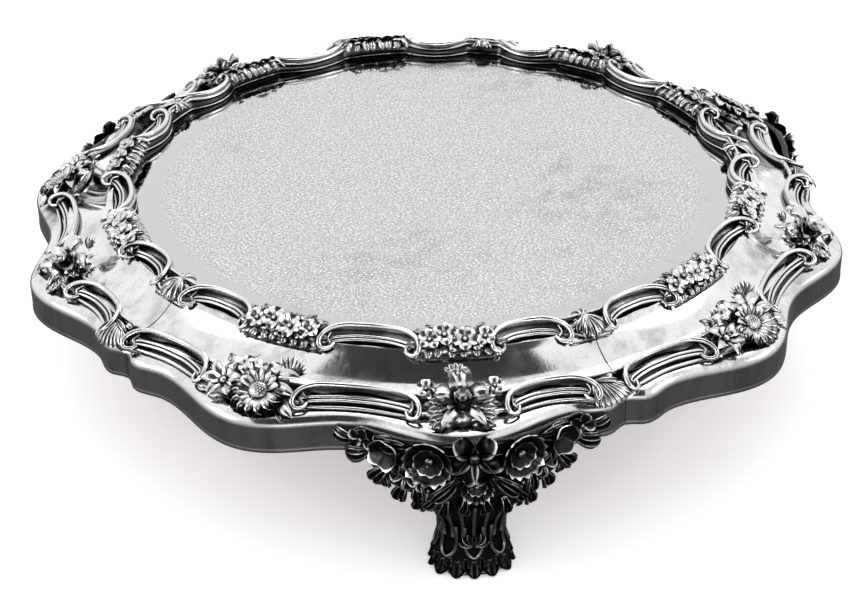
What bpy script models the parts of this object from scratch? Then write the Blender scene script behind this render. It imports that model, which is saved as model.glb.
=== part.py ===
"""Mirror plateau: a round plate mirror in a silver-plated border on three cast feet.

Metres, +Z up. The origin is on the plateau's axis at the level that the feet stand on.
Azimuths are measured from -Y towards +X. The metalwork is made in five equal sections,
each with two flowers, and leaves cover the seams between sections.
"""

import math

import bmesh
import bpy
from mathutils import Vector

# ---- fits ---------------------------------------------------------------------------
GAP = 0.0003             # between pieces that touch
SHEET = 0.0010           # plated sheet metal
SCREW_PLAY = 0.0003      # round a screw's shank
HEAD_PLAY = 0.0004       # round a sunk screw head

# ---- plan ---------------------------------------------------------------------------
SECTIONS = 5
FLOWER_TURN = math.radians(13.955)   # a flower, from the middle of its section
GLASS_R = 0.1670
GLASS_PLAY = 0.0006      # round the glass, in the bed's rebate
RIM_W = 0.0052           # wall of the bed round the glass
COVE_PLAY = 0.0007       # from that wall to the top of the cove
COVE_W = 0.0205
INNER_LAP = 0.0035       # the inner border's ring, outside the edge of the glass
INNER_BOW = 0.0065       # how far each of its scrolls bows inwards
OUTER_STEP = 0.0060      # the outer border's ring, outside the foot of the cove
OUTER_BOW = 0.0060
INNER_HALF_W = 0.0078    # the inner border's width, to either side of its middle line
OUTER_IN_W = 0.0055      # the outer border's width, inside its middle line
OUTER_OUT_W = 0.0085     # and outside it
LOBE_PEAK = 0.0200       # the apron stands outside the outer border's ring: at a flower,
LOBE_DIP = 0.0060        # in the middle of a section,
LOBE_NECK = 0.0056       # between a flower and a seam,
LOBE_BUMP = 0.0090       # beside a seam,
LOBE_NOTCH = 0.0050      # and at a seam
NECK_TURN = math.radians(28.5)
BUMP_TURN = math.radians(33.0)
SHOULDER_W = 0.0055
BEAD = 0.0005            # the rolled edge stands proud by this
BEAD_H = 0.0020
BOARD_PLAY = 0.0008      # from the base board to the apron

# ---- heights ------------------------------------------------------------------------
STAND_H = 0.0627         # the feet's shelves, above the table
APRON_SIDE_H = 0.0135
SHOULDER_H = 0.0045
BASE_BOARD_H = 0.0120
BED_FLOOR_H = 0.0134
BED_SHOULDER_H = 0.0077
PAD_H = 0.0007
GLASS_H = 0.0050
BEVEL_W = 0.0060         # the ground edge of the glass
BEVEL_H = 0.0006
INNER_BORDER_H = 0.0095  # above the glass
OUTER_BORDER_H = 0.0078  # above the apron's shoulder
COVE_DROP = 0.0105
INNER_REEDS = ((-0.0055, 0.0), (-0.0028, 0.0018), (0.0, 0.0008), (0.0035, 0.0028))
INNER_WALL_DROP = 0.0035 # from the inner border's top to where its inner face turns in
INNER_LIP_DROP = 0.0038  # and to its outer lip
INNER_FOOT_IN = 0.0040   # the part that stands on the glass ends this far inside the middle line
OUTER_REEDS = ((-0.0036, 0.0), (-0.0014, 0.0026), (0.0010, 0.0018), (0.0034, 0.0040), (0.0065, 0.0046))
OUTER_WALL_DROP = 0.0022
OUTER_LIP_H = 0.0015     # its outer lip, above its foot
SWELL_H = 0.0025         # flowers and leaves stand above the scrolls
SWELL_W = 0.0010
SWELL_TURN = math.radians(3.2)

# ---- feet ---------------------------------------------------------------------------
FEET = 3
ORNAMENTS_BETWEEN_FEET = 5
FOOT_TURNS = (math.radians(1.15), math.radians(-1.15), 0.0)  # each foot, round from its ornament
SOLE_HALF_W = 0.0185
SOLE_D = 0.0300
SOLE_SET_BACK = 0.0020   # the sole's front, behind the apron above it
NECK_HALF_W = 0.0163
BRACKET_HALF_W = 0.0585
BRACKET_T = 0.0045
BRACKET_EDGE = 0.35      # its thickness at the tips, as a share
BRACKET_PLAY = 0.0006
BRACKET_DEPTH = 0.0220   # from the bracket's back inwards, where it is under the apron
SHELF_H = 0.0040
FLANGE_REACH = 0.0440    # from the apron's face inwards, under the base board
FLANGE_HALF_W = 0.0210
FOOT_SCREW_SPREAD = 0.0130
FOOT_SCREW_INSET = 0.0370

# ---- fasteners ----------------------------------------------------------------------
SHANK_R = 0.0020
HEAD_R = 0.0038
HEAD_H = 0.0025
SCREW_L = 0.0135
BED_SCREW_L = 0.0190
BED_SCREW_AT = 0.1200
HEAD_SUNK = 0.0010       # a bed screw's head, below the floor of the bed
LUG_HALF_W = 0.0080
LUG_L = 0.0240
LUG_T = 0.0012
LUG_SCREW_INSET = 0.0150
PILOT_SPARE = 0.0008     # the end of a pilot hole, past the screw's point

# ---- resolution ---------------------------------------------------------------------
SCROLL_STEPS = (7, 10, 7)            # along a section: seam, flower, flower, seam
LOBE_STEPS = (3, 4, 2, 2)            # along half a section: dip, peak, neck, bump, notch
DISC_STEPS = 72
SCREW_STEPS = 10
FOOT_HALF_STEPS = 5

# ---- worked out ---------------------------------------------------------------------
PITCH = math.tau / SECTIONS
FIRST_CENTRE = -PITCH / 2            # a seam lies on -Y
REBATE_R = GLASS_R + GLASS_PLAY
WALL_R = REBATE_R + RIM_W
COVE_TOP_R = WALL_R + COVE_PLAY
COVE_FOOT_R = COVE_TOP_R + COVE_W
INNER_R = GLASS_R + INNER_LAP
OUTER_R = COVE_FOOT_R + OUTER_STEP
FLANGE_R = OUTER_R - OUTER_BOW - OUTER_IN_W + SHEET
BED_R = OUTER_R - OUTER_BOW - OUTER_IN_W - 2 * GAP
LOBES = (
    (0.0, OUTER_R + LOBE_DIP),
    (FLOWER_TURN, OUTER_R + LOBE_PEAK),
    (NECK_TURN, OUTER_R + LOBE_NECK),
    (BUMP_TURN, OUTER_R + LOBE_BUMP),
    (PITCH / 2, OUTER_R + LOBE_NOTCH),
)
ORNAMENT_TURNS = (-PITCH / 2, -FLOWER_TURN, FLOWER_TURN, PITCH / 2)
SEAM_TURN = GAP / 2 / (INNER_R - INNER_BOW - INNER_HALF_W)

Z_APRON = STAND_H + GAP
Z_SIDE_TOP = Z_APRON + APRON_SIDE_H
Z_SHOULDER = Z_SIDE_TOP + SHOULDER_H
Z_BASE_TOP = Z_APRON + BASE_BOARD_H
Z_BED = Z_BASE_TOP + GAP
Z_BED_FLOOR = Z_BED + BED_FLOOR_H
Z_PAD = Z_BED_FLOOR + GAP
Z_GLASS = Z_PAD + PAD_H + GAP
Z_GLASS_TOP = Z_GLASS + GLASS_H
Z_COVE_TOP = Z_GLASS_TOP + GAP + SHEET
Z_COVE_FOOT = Z_COVE_TOP - COVE_DROP
Z_INNER_TOP = Z_GLASS_TOP + INNER_BORDER_H
Z_OUTER = Z_SHOULDER + GAP
Z_OUTER_TOP = Z_SHOULDER + OUTER_BORDER_H
Z_SHELF = STAND_H - SHELF_H

COLOURS = {
    "polished_silver": ((0.80, 0.79, 0.77), 0.10, 1.0),
    "cast_silver": ((0.62, 0.61, 0.59), 0.25, 1.0),
    "dark_cast_silver": ((0.16, 0.16, 0.16), 0.30, 1.0),
    "mirror_plate": ((0.82, 0.83, 0.83), 0.06, 1.0),
    "mahogany": ((0.20, 0.09, 0.05), 0.55, 0.0),
    "baize": ((0.10, 0.16, 0.11), 0.95, 0.0),
    "iron": ((0.30, 0.28, 0.26), 0.45, 1.0),
}


def clear_scene():
    for obj in list(bpy.data.objects):
        bpy.data.objects.remove(obj, do_unlink=True)


def new_collection(name):
    collection = bpy.data.collections.new(name)
    bpy.context.scene.collection.children.link(collection)
    return collection


clear_scene()
PLATEAU = new_collection("mirror_plateau")
CUTTERS = new_collection("cutters")


def finish(obj, finish_name):
    """Gives a piece its own material, smooth faces with sharp corners, and its collection."""
    colour, roughness, metallic = COLOURS[finish_name]
    material = bpy.data.materials.new(obj.name)
    material.use_nodes = True
    shader = material.node_tree.nodes["Principled BSDF"]
    shader.inputs["Base Color"].default_value = (*colour, 1.0)
    shader.inputs["Roughness"].default_value = roughness
    shader.inputs["Metallic"].default_value = metallic
    obj.data.materials.clear()
    obj.data.materials.append(material)
    if obj.type == "MESH":
        obj.data.shade_smooth()
        obj.data.set_sharp_from_angle(angle=math.radians(35))
    PLATEAU.objects.link(obj)
    return obj


def as_cutter(obj, cutter_set):
    obj.hide_render = True
    obj.display_type = "WIRE"
    cutter_set.objects.link(obj)
    return obj


def new_cutter_set(name):
    cutter_set = bpy.data.collections.new(name)
    CUTTERS.children.link(cutter_set)
    return cutter_set


def cut(obj, cutter_set):
    """Takes every solid of a cutter set out of a piece."""
    boolean = obj.modifiers.new("holes", "BOOLEAN")
    boolean.operation = "DIFFERENCE"
    boolean.operand_type = "COLLECTION"
    boolean.collection = cutter_set


# ---- shapes -------------------------------------------------------------------------
def place(radius, azimuth, z):
    return Vector((radius * math.sin(azimuth), -radius * math.cos(azimuth), z))


def stations(stops, steps):
    """Turns from the first stop to the last, with equal steps between one stop and the next."""
    turns = [stops[0]]
    for start, end, count in zip(stops, stops[1:], steps):
        turns += [start + (end - start) * (i + 1) / count for i in range(count)]
    return turns


def within_seams(turns):
    """The same turns, drawn in at both ends so that two sections don't touch."""
    return [turns[0] + SEAM_TURN, *turns[1:-1], turns[-1] - SEAM_TURN]


def object_from(name, bm):
    mesh = bpy.data.meshes.new(name)
    bm.to_mesh(mesh)
    bm.free()
    return bpy.data.objects.new(name, mesh)


def loft(name, loops):
    """A closed solid through a row of loops that have the same number of points."""
    bm = bmesh.new()
    rings = [[bm.verts.new(point) for point in loop] for loop in loops]
    for ring, following in zip(rings, rings[1:]):
        for i in range(len(ring)):
            bm.faces.new((ring[i - 1], ring[i], following[i], following[i - 1]))
    bm.faces.new(rings[0])
    bm.faces.new(rings[-1])
    bmesh.ops.remove_doubles(bm, verts=bm.verts, dist=0.000001)
    bmesh.ops.recalc_face_normals(bm, faces=bm.faces)
    return object_from(name, bm)


def sheet(name, rows):
    """A shell of plated sheet, SHEET thick, under an open surface given as rows of points."""
    bm = bmesh.new()
    grid = [[bm.verts.new(point) for point in row] for row in rows]
    for row, following in zip(grid, grid[1:]):
        for i in range(len(row) - 1):
            bm.faces.new((row[i + 1], row[i], following[i], following[i + 1]))
    obj = object_from(name, bm)
    solidify = obj.modifiers.new("thickness", "SOLIDIFY")
    solidify.thickness = SHEET
    solidify.offset = -1.0
    solidify.use_even_offset = True
    return obj


def turned(name, profile, steps):
    """A turned solid. The profile of (radius, z) runs from the axis at the top to the axis below."""
    bm = bmesh.new()
    points = [bm.verts.new((radius, 0.0, z)) for radius, z in profile]
    for upper, lower in zip(points, points[1:]):
        bm.edges.new((upper, lower))
    obj = object_from(name, bm)
    screw = obj.modifiers.new("turn", "SCREW")
    screw.steps = steps
    screw.render_steps = steps
    screw.use_merge_vertices = True
    screw.merge_threshold = 0.00001
    return obj


def box(name, size, centre, azimuth):
    """A box with its own X along the tangent and its own Y pointing outwards."""
    bm = bmesh.new()
    bmesh.ops.create_cube(bm, size=1.0)
    bmesh.ops.scale(bm, vec=size, verts=bm.verts)
    obj = object_from(name, bm)
    obj.location = centre
    obj.rotation_euler.z = azimuth + math.pi
    return obj


# ---- the plan's curves --------------------------------------------------------------
def outline(turn):
    """The apron's outer face, at a turn from the middle of a section: lobes joined by cosine eases."""
    turn = abs(turn)
    for (start, low), (end, high) in zip(LOBES, LOBES[1:]):
        if turn <= end or end == LOBES[-1][0]:
            share = min((turn - start) / (end - start), 1.0)
            return low + (high - low) * (1 - math.cos(math.pi * share)) / 2


def outline_at(azimuth):
    turn = (azimuth - FIRST_CENTRE + PITCH / 2) % PITCH - PITCH / 2
    return outline(turn)


def bowed(ring_r, bow, turn):
    """A border's middle line: on its ring at each ornament, and bowed inwards between two."""
    turn = max(ORNAMENT_TURNS[0], min(turn, ORNAMENT_TURNS[-1]))
    for start, end in zip(ORNAMENT_TURNS, ORNAMENT_TURNS[1:]):
        if turn <= end:
            share = (turn - start) / (end - start)
            return ring_r - bow * 4 * share * (1 - share)


def swell(turn):
    """One at the middle of a flower or leaf, and falling to nothing beside it."""
    return sum(math.exp(-(((turn - at) / SWELL_TURN) ** 2)) for at in ORNAMENT_TURNS)


def section_centre(section):
    return FIRST_CENTRE + PITCH * section


# ---- metalwork ----------------------------------------------------------------------
def apron_profile():
    """(distance in from the outline, z) from the rolled lower edge up to the shoulder."""
    return (
        (-BEAD, Z_APRON),
        (-BEAD, Z_APRON + BEAD_H),
        (0.0, Z_APRON + BEAD_H + BEAD),
        (0.0, Z_SIDE_TOP),
        (0.35 * SHOULDER_W, Z_SIDE_TOP + 0.70 * SHOULDER_H),
        (SHOULDER_W, Z_SHOULDER),
    )


def make_apron(section):
    centre = section_centre(section)
    half = stations([turn for turn, _ in LOBES], LOBE_STEPS)
    turns = within_seams([-turn for turn in reversed(half)] + half[1:])
    rows = []
    for turn in turns:
        row = [place(outline(turn) - inset, centre + turn, z) for inset, z in apron_profile()]
        row.append(place(FLANGE_R, centre + turn, Z_SHOULDER))
        rows.append(row)
    return finish(sheet(f"apron_{section + 1}", rows), "polished_silver")


def cove_height(radius):
    share = max(0.0, min((radius - COVE_TOP_R) / COVE_W, 1.0))
    return Z_COVE_TOP - COVE_DROP * (1 - (1 - share) ** 2)


def make_cove(section):
    """The hollow band between the borders: spun, then trimmed to the outer border's inner edge."""
    centre = section_centre(section)
    rows = []
    for turn in within_seams(stations(ORNAMENT_TURNS, SCROLL_STEPS)):
        end = bowed(OUTER_R, OUTER_BOW, turn) - OUTER_IN_W - GAP - SWELL_W * swell(turn)
        radii = [REBATE_R + 2 * GAP, COVE_TOP_R]
        radii += [COVE_TOP_R + (end - COVE_TOP_R) * share for share in (0.30, 0.62, 1.0)]
        rows.append([place(r, centre + turn, cove_height(r)) for r in reversed(radii)])
    return finish(sheet(f"cove_{section + 1}", rows), "polished_silver")


def inner_border_loop(turn):
    """The reeded casting: its foot stands on the glass, and its back lies on the cove."""
    rise = SWELL_H * swell(turn)
    wide = SWELL_W * swell(turn)
    top = Z_INNER_TOP
    under = Z_COVE_TOP + GAP
    foot = Z_GLASS_TOP + GAP
    reeds = [(out, top - drop + rise) for out, drop in INNER_REEDS]
    return (
        (-INNER_HALF_W, foot),
        (-INNER_HALF_W - wide / 2, top - INNER_WALL_DROP),
        *reeds,
        (INNER_HALF_W + wide, top - INNER_LIP_DROP),
        (INNER_HALF_W + wide, under),
        (-INNER_FOOT_IN, under),
        (-INNER_FOOT_IN, foot),
    )


def outer_border_loop(turn):
    """The reeded casting that stands on the apron's shoulder."""
    rise = SWELL_H * swell(turn)
    wide = SWELL_W * swell(turn)
    top = Z_OUTER_TOP
    reeds = [(out, top - drop + rise) for out, drop in OUTER_REEDS]
    return (
        (-OUTER_IN_W - wide, Z_OUTER),
        (-OUTER_IN_W - wide, top - OUTER_WALL_DROP),
        *reeds,
        (OUTER_OUT_W + wide, Z_OUTER + OUTER_LIP_H),
        (OUTER_OUT_W + wide, Z_OUTER),
    )


def make_border(name, section, ring_r, bow, loop_at):
    centre = section_centre(section)
    loops = []
    for turn in within_seams(stations(ORNAMENT_TURNS, SCROLL_STEPS)):
        middle = bowed(ring_r, bow, turn)
        loops.append([place(middle + out, centre + turn, z) for out, z in loop_at(turn)])
    return finish(loft(f"{name}_{section + 1}", loops), "cast_silver")


# ---- boards, pad and glass ----------------------------------------------------------
def screw_profile(head_top, length, head_r, head_h, shank_r):
    """A screw that points down, from the top of its head."""
    head = head_top - head_h
    return (
        (0.0, head_top),
        (0.7 * head_r, head_top),
        (head_r, head_top - 0.4 * head_h),
        (head_r, head),
        (shank_r, head),
        (shank_r, head - length + shank_r),
        (0.0, head - length),
    )


def flipped(profile):
    """The same screw pointing up: mirrored in z and read the other way, so that it still runs down."""
    return [(radius, -z) for radius, z in reversed(profile)]


def hole_cutter(name, radius, top, bottom, at, cutter_set):
    profile = ((0.0, top), (radius, top), (radius, bottom), (0.0, bottom))
    cutter = turned(name, profile, SCREW_STEPS)
    cutter.location = at
    return as_cutter(cutter, cutter_set)


def make_screw(name, at, head_top, length, points_up=False):
    profile = screw_profile(-head_top if points_up else head_top, length, HEAD_R, HEAD_H, SHANK_R)
    screw = turned(name, flipped(profile) if points_up else profile, SCREW_STEPS)
    screw.location = at
    return finish(screw, "iron")


def make_base_board():
    """The lobed board inside the apron, with a pilot hole for every screw and a pocket for every lug."""
    half = stations([turn for turn, _ in LOBES], LOBE_STEPS)
    turns = [-turn for turn in reversed(half)][:-1] + half[:-1]
    inset = SHEET + BOARD_PLAY
    points = [
        place(outline(turn) - inset, section_centre(section) + turn, 0.0)
        for section in range(SECTIONS)
        for turn in turns
    ]
    curve = bpy.data.curves.new("base_board_outline", "CURVE")
    curve.dimensions = "2D"
    curve.fill_mode = "BOTH"
    curve.extrude = BASE_BOARD_H / 2
    spline = curve.splines.new("POLY")
    spline.points.add(len(points) - 1)
    for point, co in zip(spline.points, points):
        point.co = (*co, 1.0)
    spline.use_cyclic_u = True
    shape = bpy.data.objects.new("base_board_outline", curve)
    shape.location.z = Z_APRON + BASE_BOARD_H / 2
    bpy.context.scene.collection.objects.link(shape)
    graph = bpy.context.evaluated_depsgraph_get()
    mesh = bpy.data.meshes.new_from_object(shape.evaluated_get(graph))
    bm = bmesh.new()
    bm.from_mesh(mesh)
    bmesh.ops.remove_doubles(bm, verts=bm.verts, dist=0.00001)
    bmesh.ops.recalc_face_normals(bm, faces=bm.faces)
    board = object_from("base_board", bm)
    board.matrix_world = shape.matrix_world
    bpy.data.objects.remove(shape, do_unlink=True)
    return finish(board, "mahogany")


def make_bed_board():
    """The turned board that the mirror lies in."""
    profile = (
        (0.0, Z_BED_FLOOR),
        (REBATE_R, Z_BED_FLOOR),
        (REBATE_R, Z_GLASS_TOP),
        (WALL_R, Z_GLASS_TOP),
        (WALL_R, Z_BED + BED_SHOULDER_H),
        (BED_R, Z_BED + BED_SHOULDER_H),
        (BED_R, Z_BED),
        (0.0, Z_BED),
    )
    return finish(turned("bed_board", profile, DISC_STEPS), "mahogany")


def make_pad():
    profile = ((0.0, Z_PAD + PAD_H), (GLASS_R, Z_PAD + PAD_H), (GLASS_R, Z_PAD), (0.0, Z_PAD))
    return finish(turned("mirror_pad", profile, DISC_STEPS), "baize")


def make_glass():
    """The mirror plate, with a shallow ground bevel that runs under the inner border."""
    profile = (
        (0.0, Z_GLASS_TOP),
        (GLASS_R - BEVEL_W - INNER_BOW, Z_GLASS_TOP),
        (GLASS_R - 0.0004, Z_GLASS_TOP - BEVEL_H),
        (GLASS_R, Z_GLASS_TOP - BEVEL_H - 0.0004),
        (GLASS_R, Z_GLASS),
        (0.0, Z_GLASS),
    )
    return finish(turned("mirror_glass", profile, DISC_STEPS), "mirror_plate")


# ---- feet ---------------------------------------------------------------------------
def foot_azimuth(foot):
    """Feet stand near every fifth ornament, starting at the second flower of the first section."""
    ornament = 1 + foot * ORNAMENTS_BETWEEN_FEET
    section, place_in_section = divmod(ornament, 3)
    turn = (-FLOWER_TURN, FLOWER_TURN, PITCH / 2)[place_in_section]
    return section_centre(section) + turn + FOOT_TURNS[foot]


def seat_radius(azimuth):
    """The furthest that the apron stands out over a foot's leg."""
    reach = NECK_HALF_W / OUTER_R
    return max(outline_at(azimuth + reach * i / 4) for i in range(-4, 5))


def foot_loop(azimuth, z, half_w, inner_at, outer_at):
    """A closed loop at one height: across the front of the foot, and back behind it."""
    seat = seat_radius(azimuth)
    count = FOOT_HALF_STEPS
    spread = [math.sin(math.pi / 2 * i / count) for i in range(-count, count + 1)]
    front = [place(outer_at(s), azimuth + s * half_w / seat, z) for s in spread]
    back = [place(inner_at(s), azimuth + s * half_w / seat, z) for s in spread]
    return front + list(reversed(back))


def leg_loop(azimuth, z, half_w, back, front):
    """A rounded section of the leg, between two distances measured from the apron's face above it."""
    seat = seat_radius(azimuth)
    middle = seat + (front + back) / 2
    half_d = (front - back) / 2

    def bulge(s):
        return (1 - abs(s) ** 2.4) ** (1 / 2.4)

    return foot_loop(
        azimuth, z, half_w, lambda s: middle - half_d * bulge(s), lambda s: middle + half_d * bulge(s)
    )


def clear_of_apron(azimuth, step):
    """A radius that clears the apron's beaded face from here to the next point on either side."""
    nearby = max(outline_at(azimuth + step * i / 4) for i in range(-4, 5))
    return nearby + BEAD + BRACKET_PLAY


def bracket_loop(azimuth, z, half_w, thickness, depth=0.0):
    """A section of the bracket, which follows the apron, and reaches in by depth where it is under it."""
    seat = seat_radius(azimuth)
    step = half_w / seat / FOOT_HALF_STEPS

    def face(s):
        return clear_of_apron(azimuth + s * half_w / seat, step)

    def outer(s):
        return face(s) + thickness * (BRACKET_EDGE + (1 - BRACKET_EDGE) * math.sqrt(1 - s * s))

    def inner(s):
        return face(s) - depth * (1 - s * s)

    return foot_loop(azimuth, z, half_w, inner, outer)


def make_foot(foot):
    azimuth = foot_azimuth(foot)
    front = -SOLE_SET_BACK
    back = front - SOLE_D
    shelf_w = 0.86 * BRACKET_HALF_W
    loops = [
        leg_loop(azimuth, 0.0, SOLE_HALF_W, back, front),
        leg_loop(azimuth, 0.04 * STAND_H, SOLE_HALF_W + 0.002, back, front),
        leg_loop(azimuth, 0.14 * STAND_H, SOLE_HALF_W + 0.0005, back + 0.001, front - 0.002),
        leg_loop(azimuth, 0.28 * STAND_H, NECK_HALF_W, back + 0.003, front - 0.004),
        leg_loop(azimuth, 0.45 * STAND_H, NECK_HALF_W, back + 0.004, front - 0.003),
        leg_loop(azimuth, 0.60 * STAND_H, 0.36 * BRACKET_HALF_W, back + 0.006, front),
        leg_loop(azimuth, 0.73 * STAND_H, 0.50 * BRACKET_HALF_W, back + 0.008, front + 0.003),
        bracket_loop(azimuth, 0.84 * STAND_H, 0.66 * BRACKET_HALF_W, 0.7 * BRACKET_T, BRACKET_DEPTH),
        bracket_loop(azimuth, Z_SHELF, 0.80 * BRACKET_HALF_W, 0.9 * BRACKET_T, BRACKET_DEPTH),
        bracket_loop(azimuth, STAND_H, shelf_w, BRACKET_T, BRACKET_DEPTH),
        bracket_loop(azimuth, STAND_H, shelf_w, BRACKET_T),
        bracket_loop(azimuth, Z_APRON + 0.50 * APRON_SIDE_H, BRACKET_HALF_W, BRACKET_T),
        bracket_loop(azimuth, Z_SIDE_TOP, BRACKET_HALF_W, 0.9 * BRACKET_T),
        bracket_loop(azimuth, Z_SHOULDER, 0.92 * BRACKET_HALF_W, 0.6 * BRACKET_T),
    ]
    name = f"foot_{foot + 1}"
    piece = finish(loft(name, loops), "dark_cast_silver")
    add_flange(piece, azimuth)
    holes = new_cutter_set(f"{name}_holes")
    for side, at in enumerate(foot_screw_places(foot)):
        top, bottom = STAND_H + SHEET, Z_SHELF - SHEET
        hole_cutter(f"{name}_hole_{side + 1}", SHANK_R + SCREW_PLAY, top, bottom, at, holes)
    cut(piece, holes)
    return piece


def add_flange(piece, azimuth):
    """Joins on the flat tongue that the foot's screws pass through, a little below the shelf."""
    inner = seat_radius(azimuth) - FLANGE_REACH
    outer = seat_radius(azimuth) - BRACKET_DEPTH / 2
    thick = SHELF_H - GAP
    middle = place((inner + outer) / 2, azimuth, Z_SHELF + thick / 2)
    tongue = box(f"{piece.name}_flange", (2 * FLANGE_HALF_W, outer - inner, thick), middle, azimuth)
    as_cutter(tongue, CUTTERS)
    union = piece.modifiers.new("flange", "BOOLEAN")
    union.operation = "UNION"
    union.object = tongue


def foot_screw_places(foot):
    azimuth = foot_azimuth(foot)
    radius = seat_radius(azimuth) - FOOT_SCREW_INSET
    return [place(radius, azimuth + side * FOOT_SCREW_SPREAD / radius, 0.0) for side in (-1, 1)]


# ---- fixings ------------------------------------------------------------------------
def make_foot_screws(base_holes):
    radius = SHANK_R + SCREW_PLAY
    for foot in range(FEET):
        for side, at in enumerate(foot_screw_places(foot)):
            name = f"foot_{foot + 1}_screw_{side + 1}"
            head = Z_SHELF - GAP
            make_screw(name, at, head - HEAD_H, SCREW_L, points_up=True)
            top = head + SCREW_L + PILOT_SPARE
            hole_cutter(f"{name}_pilot", radius, top, Z_APRON - SHEET, at, base_holes)


def make_lugs(base_holes):
    """A lug soldered inside each apron section lies in a pocket under the board, and a screw holds it."""
    outer = OUTER_R + LOBE_DIP - SHEET - 2 * GAP
    z = Z_APRON + GAP
    for section in range(SECTIONS):
        azimuth = section_centre(section)
        name = f"lug_{section + 1}"
        middle = place(outer - LUG_L / 2, azimuth, z + LUG_T / 2)
        lug = finish(box(name, (2 * LUG_HALF_W, LUG_L, LUG_T), middle, azimuth), "iron")
        at = place(outer - LUG_SCREW_INSET, azimuth, 0.0)
        holes = new_cutter_set(f"{name}_holes")
        hole_cutter(f"{name}_hole", SHANK_R + SCREW_PLAY, z + 2 * LUG_T, z - LUG_T, at, holes)
        cut(lug, holes)
        head = z - GAP
        make_screw(f"{name}_screw", at, head - HEAD_H, SCREW_L - SHELF_H, points_up=True)
        top = head + SCREW_L - SHELF_H + PILOT_SPARE
        hole_cutter(f"{name}_pilot", SHANK_R + SCREW_PLAY, top, Z_APRON - SHEET, at, base_holes)
        deep = LUG_T + 2 * GAP
        size = (2 * (LUG_HALF_W + GAP), LUG_L + 2 * LUG_HALF_W, 2 * deep)
        pocket_at = place(outer - LUG_L - GAP + size[1] / 2, azimuth, Z_APRON)
        as_cutter(box(f"{name}_pocket", size, pocket_at, azimuth), base_holes)


def make_bed_screws(bed, base_holes):
    """Sunk screws hold the bed board down on the base board, under the mirror's pad."""
    holes = new_cutter_set("bed_board_holes")
    head_top = Z_BED_FLOOR - HEAD_SUNK
    under_head = head_top - HEAD_H
    radius = SHANK_R + SCREW_PLAY
    for section in range(SECTIONS):
        at = place(BED_SCREW_AT, section_centre(section), 0.0)
        name = f"bed_screw_{section + 1}"
        make_screw(name, at, head_top, BED_SCREW_L)
        profile = (
            (0.0, Z_BED_FLOOR + SHEET),
            (HEAD_R + HEAD_PLAY, Z_BED_FLOOR + SHEET),
            (HEAD_R + HEAD_PLAY, under_head - GAP),
            (radius, under_head - GAP),
            (radius, Z_BED - SHEET),
            (0.0, Z_BED - SHEET),
        )
        cutter = turned(f"{name}_sink", profile, SCREW_STEPS)
        cutter.location = at
        as_cutter(cutter, holes)
        bottom = under_head - BED_SCREW_L - PILOT_SPARE
        hole_cutter(f"{name}_pilot", radius, Z_BASE_TOP + SHEET, bottom, at, base_holes)
    cut(bed, holes)


def build():
    base = make_base_board()
    bed = make_bed_board()
    make_pad()
    make_glass()
    for section in range(SECTIONS):
        make_apron(section)
        make_cove(section)
        make_border("inner_border", section, INNER_R, INNER_BOW, inner_border_loop)
        make_border("outer_border", section, OUTER_R, OUTER_BOW, outer_border_loop)
    for foot in range(FEET):
        make_foot(foot)
    base_holes = new_cutter_set("base_board_holes")
    make_foot_screws(base_holes)
    make_lugs(base_holes)
    make_bed_screws(bed, base_holes)
    cut(base, base_holes)


build()
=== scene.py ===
# %% [markdown]
# # A silver-plated mirror plateau
# A plateau is the low mirrored stand that lifts a cake or a vase on a dining table. The real one is built
# up: a lobed board, a mirror let into a second board, an apron and a cove of plated sheet, two cast
# borders of reeded scrolls and flowers, and three cast feet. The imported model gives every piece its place
# and size. This script gives each piece its fine shape and its finish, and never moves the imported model.

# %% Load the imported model
import math

import bmesh
import bpy
import numpy as np
from mathutils import Matrix, Vector


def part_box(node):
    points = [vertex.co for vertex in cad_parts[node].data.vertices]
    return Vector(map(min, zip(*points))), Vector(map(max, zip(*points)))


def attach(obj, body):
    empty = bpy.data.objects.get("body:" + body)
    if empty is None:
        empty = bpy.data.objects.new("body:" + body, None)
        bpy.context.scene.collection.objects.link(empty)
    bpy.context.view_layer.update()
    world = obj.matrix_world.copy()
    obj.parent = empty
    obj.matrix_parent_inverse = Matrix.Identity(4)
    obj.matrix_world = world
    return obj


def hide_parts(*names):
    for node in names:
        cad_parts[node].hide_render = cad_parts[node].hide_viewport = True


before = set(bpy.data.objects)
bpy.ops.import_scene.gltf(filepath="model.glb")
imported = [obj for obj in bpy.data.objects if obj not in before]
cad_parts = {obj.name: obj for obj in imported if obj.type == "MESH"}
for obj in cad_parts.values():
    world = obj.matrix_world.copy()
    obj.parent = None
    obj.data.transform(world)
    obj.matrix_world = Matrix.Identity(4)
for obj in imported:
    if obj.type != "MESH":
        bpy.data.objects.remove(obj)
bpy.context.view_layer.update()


# %% [markdown]
# ## Sizes
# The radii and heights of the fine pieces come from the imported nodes' boxes, so that a change to the
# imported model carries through. The turns between ornaments are the border's own rule: five sections, each
# with two flowers 13.955 degrees either side of its middle, and a leaf over each seam.

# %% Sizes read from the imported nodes
MM = 0.001
SECTIONS = 5
PITCH = math.tau / SECTIONS
FLOWER_TURN = math.radians(13.955)

GLASS_R = float(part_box("mirror_glass")[1][0])
GLASS_TOP = float(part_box("mirror_glass")[1][2])
APRON_LOW = float(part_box("apron_1")[0][2])
SHOULDER = float(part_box("apron_1")[1][2])
COVE_TOP = float(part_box("cove_1")[1][2])
INNER_OUT = 3.5
OUTER_OUT = 33.0
INNER_R = GLASS_R + INNER_OUT * MM
OUTER_R = GLASS_R + OUTER_OUT * MM
print(f"glass {GLASS_R:.4f} m, borders on {INNER_R:.4f} and {OUTER_R:.4f} m, shoulder at {SHOULDER:.4f} m")

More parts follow.
